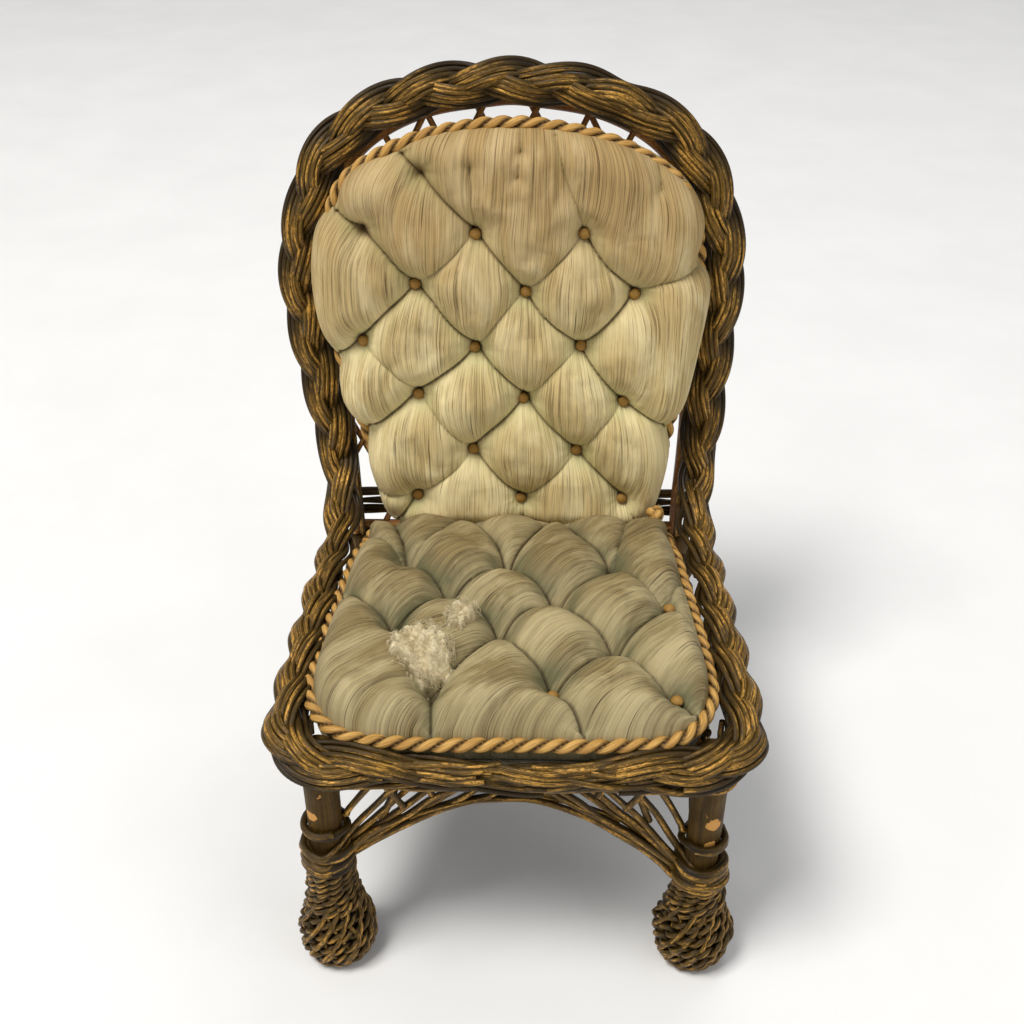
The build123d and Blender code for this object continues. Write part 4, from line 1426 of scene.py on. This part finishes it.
BUTTON_PROFILE = ((0.0, 2.3), (1.0, 2.15), (1.9, 1.7), (2.5, 1.0), (2.75, 0.3), (2.6, -0.5), (2.2, -1.2))
BUTTON_SIDES = 20


def button_rings(centre, across, up, out):
    """A covered button: a low dome with a soft rim, and 1 on its crest."""
    turns = np.linspace(0.0, FULL_TURN, BUTTON_SIDES, endpoint=False)
    for radius, height in BUTTON_PROFILE:
        wobble = radius * (1 + 0.03 * np.sin(3 * turns + centre[0]))
        ring = centre + np.outer(wobble * np.cos(turns), across) + np.outer(wobble * np.sin(turns), up)
        yield ring + out * height, np.full(BUTTON_SIDES, np.clip(height / 2.0, 0.0, 1.0))


def build_buttons(name, node, places, cushion, place, axes):
    rings, faces = [], []
    turns = np.linspace(0.0, FULL_TURN, 16, endpoint=False)
    for x, y in places:
        around = cushion.height(x + 2.8 * np.cos(turns), y + 2.8 * np.sin(turns), np.full(16, 30.0))
        centre = place(np.array([[x, y, around.mean() + 0.3]]))[0]
        start = len(rings) * BUTTON_SIDES
        rings += button_rings(centre, *axes)
        for low in range(start, (len(rings) - 1) * BUTTON_SIDES, BUTTON_SIDES):
            faces += belt(low + BUTTON_SIDES, low, BUTTON_SIDES)
    verts, crest = (np.concatenate(part) for part in zip(*rings))
    make_piece(name, verts, faces, BUTTON, [node], {"crest": crest})


def build_stuffing(cushion):
    """Curled fibres of stuffing that stand out of the torn places."""
    weave = Weave(3)
    for (cx, cy), (rx, ry), turn in cushion.style["torn"]:
        count = int(rx * ry * 5.0)
        angle, out = RNG.uniform(0.0, FULL_TURN, count), np.sqrt(RNG.uniform(0.0, 1.0, count))
        u, v = rx * out * np.cos(angle), ry * out * np.sin(angle)
        x = cx + u * math.cos(turn) - v * math.sin(turn)
        y = cy + u * math.sin(turn) + v * math.cos(turn)
        z = cushion.height(x, y, np.full(count, 30.0)) + 1.6 + stuffing_lumps(x, y)
        share = np.linspace(0.0, 1.0, 7)[:, None]
        for root in np.column_stack([x, y, z]):
            bearing, size = RNG.uniform(0.0, FULL_TURN), RNG.uniform(0.8, 2.6)
            sweep = bearing + 3.0 * share[:, 0]
            path = root + size * np.column_stack([np.cos(sweep), np.sin(sweep), 0.5 * np.sin(2.0 * sweep)])
            weave.add(path, 0.06)
    weave.build("loose_stuffing", COTTON, "lining_cloth")


def build_lining(name, node, outline, place, level):
    """A thin cloth sheet behind a cushion, as a fan of rings inside its outline."""
    rings = 26
    centre = outline.mean(axis=0)
    verts = [np.append(centre, level)]
    for ring in range(1, rings + 1):
        flat = centre + (outline - centre) * ring / rings
        sag = 0.25 * value_noise(flat[:, 0] / 14.0, flat[:, 1] / 14.0, 81)
        verts.extend(np.column_stack([flat, level + sag]))
    count = len(outline)
    faces = [[0, 1 + n, 1 + (n + 1) % count] for n in range(count)]
    for ring in range(rings - 1):
        faces += belt(1 + (ring + 1) * count, 1 + ring * count, count)
    made = make_piece(name, place(np.array(verts)), faces, LINING, [node])


def shrunk(outline, inset):
    centre = outline.mean(axis=0)
    away = outline - centre
    return centre + away * (1 - inset / np.linalg.norm(away, axis=1, keepdims=True))


def on_seat(points):
    """The seat is level, so its points stay as they are."""
    return points


def leaning(points):
    """Points (x, t, n) of the back plane in the chair's axes."""
    return on_back(*points.T)


def build_cushions():
    seat, seat_places = seat_cushion()
    back, back_places = back_cushion()
    build_cushion("tufted_seat", "seat_cushion", SEAT_SILK, seat, on_seat)
    build_cushion("tufted_back", "back_cushion", BACK_SILK, back, leaning)
    axes = np.eye(3)
    build_buttons("seat_button_caps", "seat_buttons", seat_places, seat, on_seat, axes)
    back_axes = (axes[0], BACK_UP, BACK_OUT)
    build_buttons("back_button_caps", "back_buttons", back_places, back, leaning, back_axes)
    build_stuffing(seat)
    build_lining("seat_lining", "seat_cushion_lining", shrunk(seat_edge(3.0)[:, :2], 1.5), on_seat, 126.6)
    build_lining("back_lining", "back_cushion_lining", shrunk(back_edge_flat(3.0), 4.0), leaning, -4.0)


# ---------------------------------------------------------------- the chair


def build_chair():
    for name, place in LEGS.items():
        build_foot(name, place)
        build_collar(name, place)
        if name.startswith("rear"):
            build_rear_leg(name, place)
    build_rail("front", "front_left", "front_right", FRONT_RAIL_LIFT)
    build_rail("rear", "rear_left", "rear_right")
    build_rail("left", "rear_left", "front_left")
    build_rail("right", "rear_right", "front_right")
    build_board()
    for number, height in enumerate(BAND_HEIGHTS, 1):
        build_band_course(number, height)
    for side in SIDES:
        build_apron(side)
    build_plait()
    build_front_border()
    build_hoop()
    build_lattice("right-leaning_lattice", "back_lattice_right_lean")
    build_lattice("left-leaning_lattice", "back_lattice_left_lean")
    build_lower_rail()
    for sign, side in ((-1, "left"), (1, "right")):
        build_side_stake(side, sign)
    build_rods("band_stake_reeds", "seat_band_stakes", 1.3, np.array([0.0, -1.0, 0.0]), 0.2)
    build_cord("seat_edging", seat_edge(0.9), "seat_edge_cord")
    build_cord("back_edging", back_edge(0.9), "back_edge_cord")
    build_knot()
    build_cushions()


def dress_cad():
    """Materials for the CAD pieces that show as they are."""
    for name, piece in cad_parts.items():
        if name.endswith("leg"):
            piece.data.materials.clear()
            piece.data.materials.append(DOWEL)


# ---------------------------------------------------------------- floor, light, camera


FLOOR_REACH = 6.0
WORLD_LIGHT = 0.36
LAMP_AIM = Vector((0.0, 0.0, 0.15))
CAMERA_PLACE = (0.0039, -0.4648, 0.5090)
CAMERA_AIM = Vector((-0.003, 0.0319, 0.1599))


def studio():
    """A pale floor, a soft white surround and three soft lamps, in metres."""
    mesh = bpy.data.meshes.new("floor")
    corners = [(-1, -1), (1, -1), (1, 1), (-1, 1)]
    mesh.from_pydata([(x * FLOOR_REACH, y * FLOOR_REACH, 0) for x, y in corners], [], [(0, 1, 2, 3)])
    look = Look("floor")
    grain = look.noise(look.place(), (0.01, 0.01, 0.01), 3.0)
    mesh.materials.append(look.finish(look.ramp(grain, (0.3, 0.86), (0.7, 0.9)), 0.9))
    put_in_scene("floor", mesh)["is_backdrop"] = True
    world = bpy.data.worlds.new("studio")
    world.use_nodes = True
    surround = world.node_tree.nodes["Background"]
    surround.inputs[0].default_value = (1.0, 1.0, 1.0, 1.0)
    surround.inputs[1].default_value = WORLD_LIGHT
    bpy.context.scene.world = world
    bpy.context.scene.view_settings.view_transform = "Standard"
    lamp("key", (-1.1, -0.8, 3.0), 1.1, 82.0, (1.0, 0.98, 0.94))
    lamp("fill", (2.4, -1.2, 1.6), 1.8, 12.0, (0.96, 0.98, 1.0))
    lamp("top", (0.6, 1.4, 2.8), 1.2, 12.0, (1.0, 1.0, 1.0))


def aim_at(made, place, target):
    made.location = place
    made.rotation_euler = (target - made.location).to_track_quat("-Z", "Y").to_euler()


def lamp(name, place, size, power, tint):
    light = bpy.data.lights.new(name, "AREA")
    light.size = size
    light.energy = power
    light.color = tint
    aim_at(put_in_scene(name, light), place, LAMP_AIM)


def photo_camera():
    camera = bpy.data.cameras.new("camera")
    camera.lens = 44.08
    camera.sensor_width = 36.0
    made = put_in_scene("camera", camera)
    aim_at(made, CAMERA_PLACE, CAMERA_AIM)
    bpy.context.scene.camera = made


def write_sizes():
    """The CAD's box and the finished model's, side by side; worked out here and not written anywhere."""
    boxes = {"cad": CAD_BOX, "visual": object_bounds()}
    plain = {name: [list(corner) for corner in box] for name, box in boxes.items()}


build_chair()
dress_cad()
studio()
photo_camera()
write_sizes()
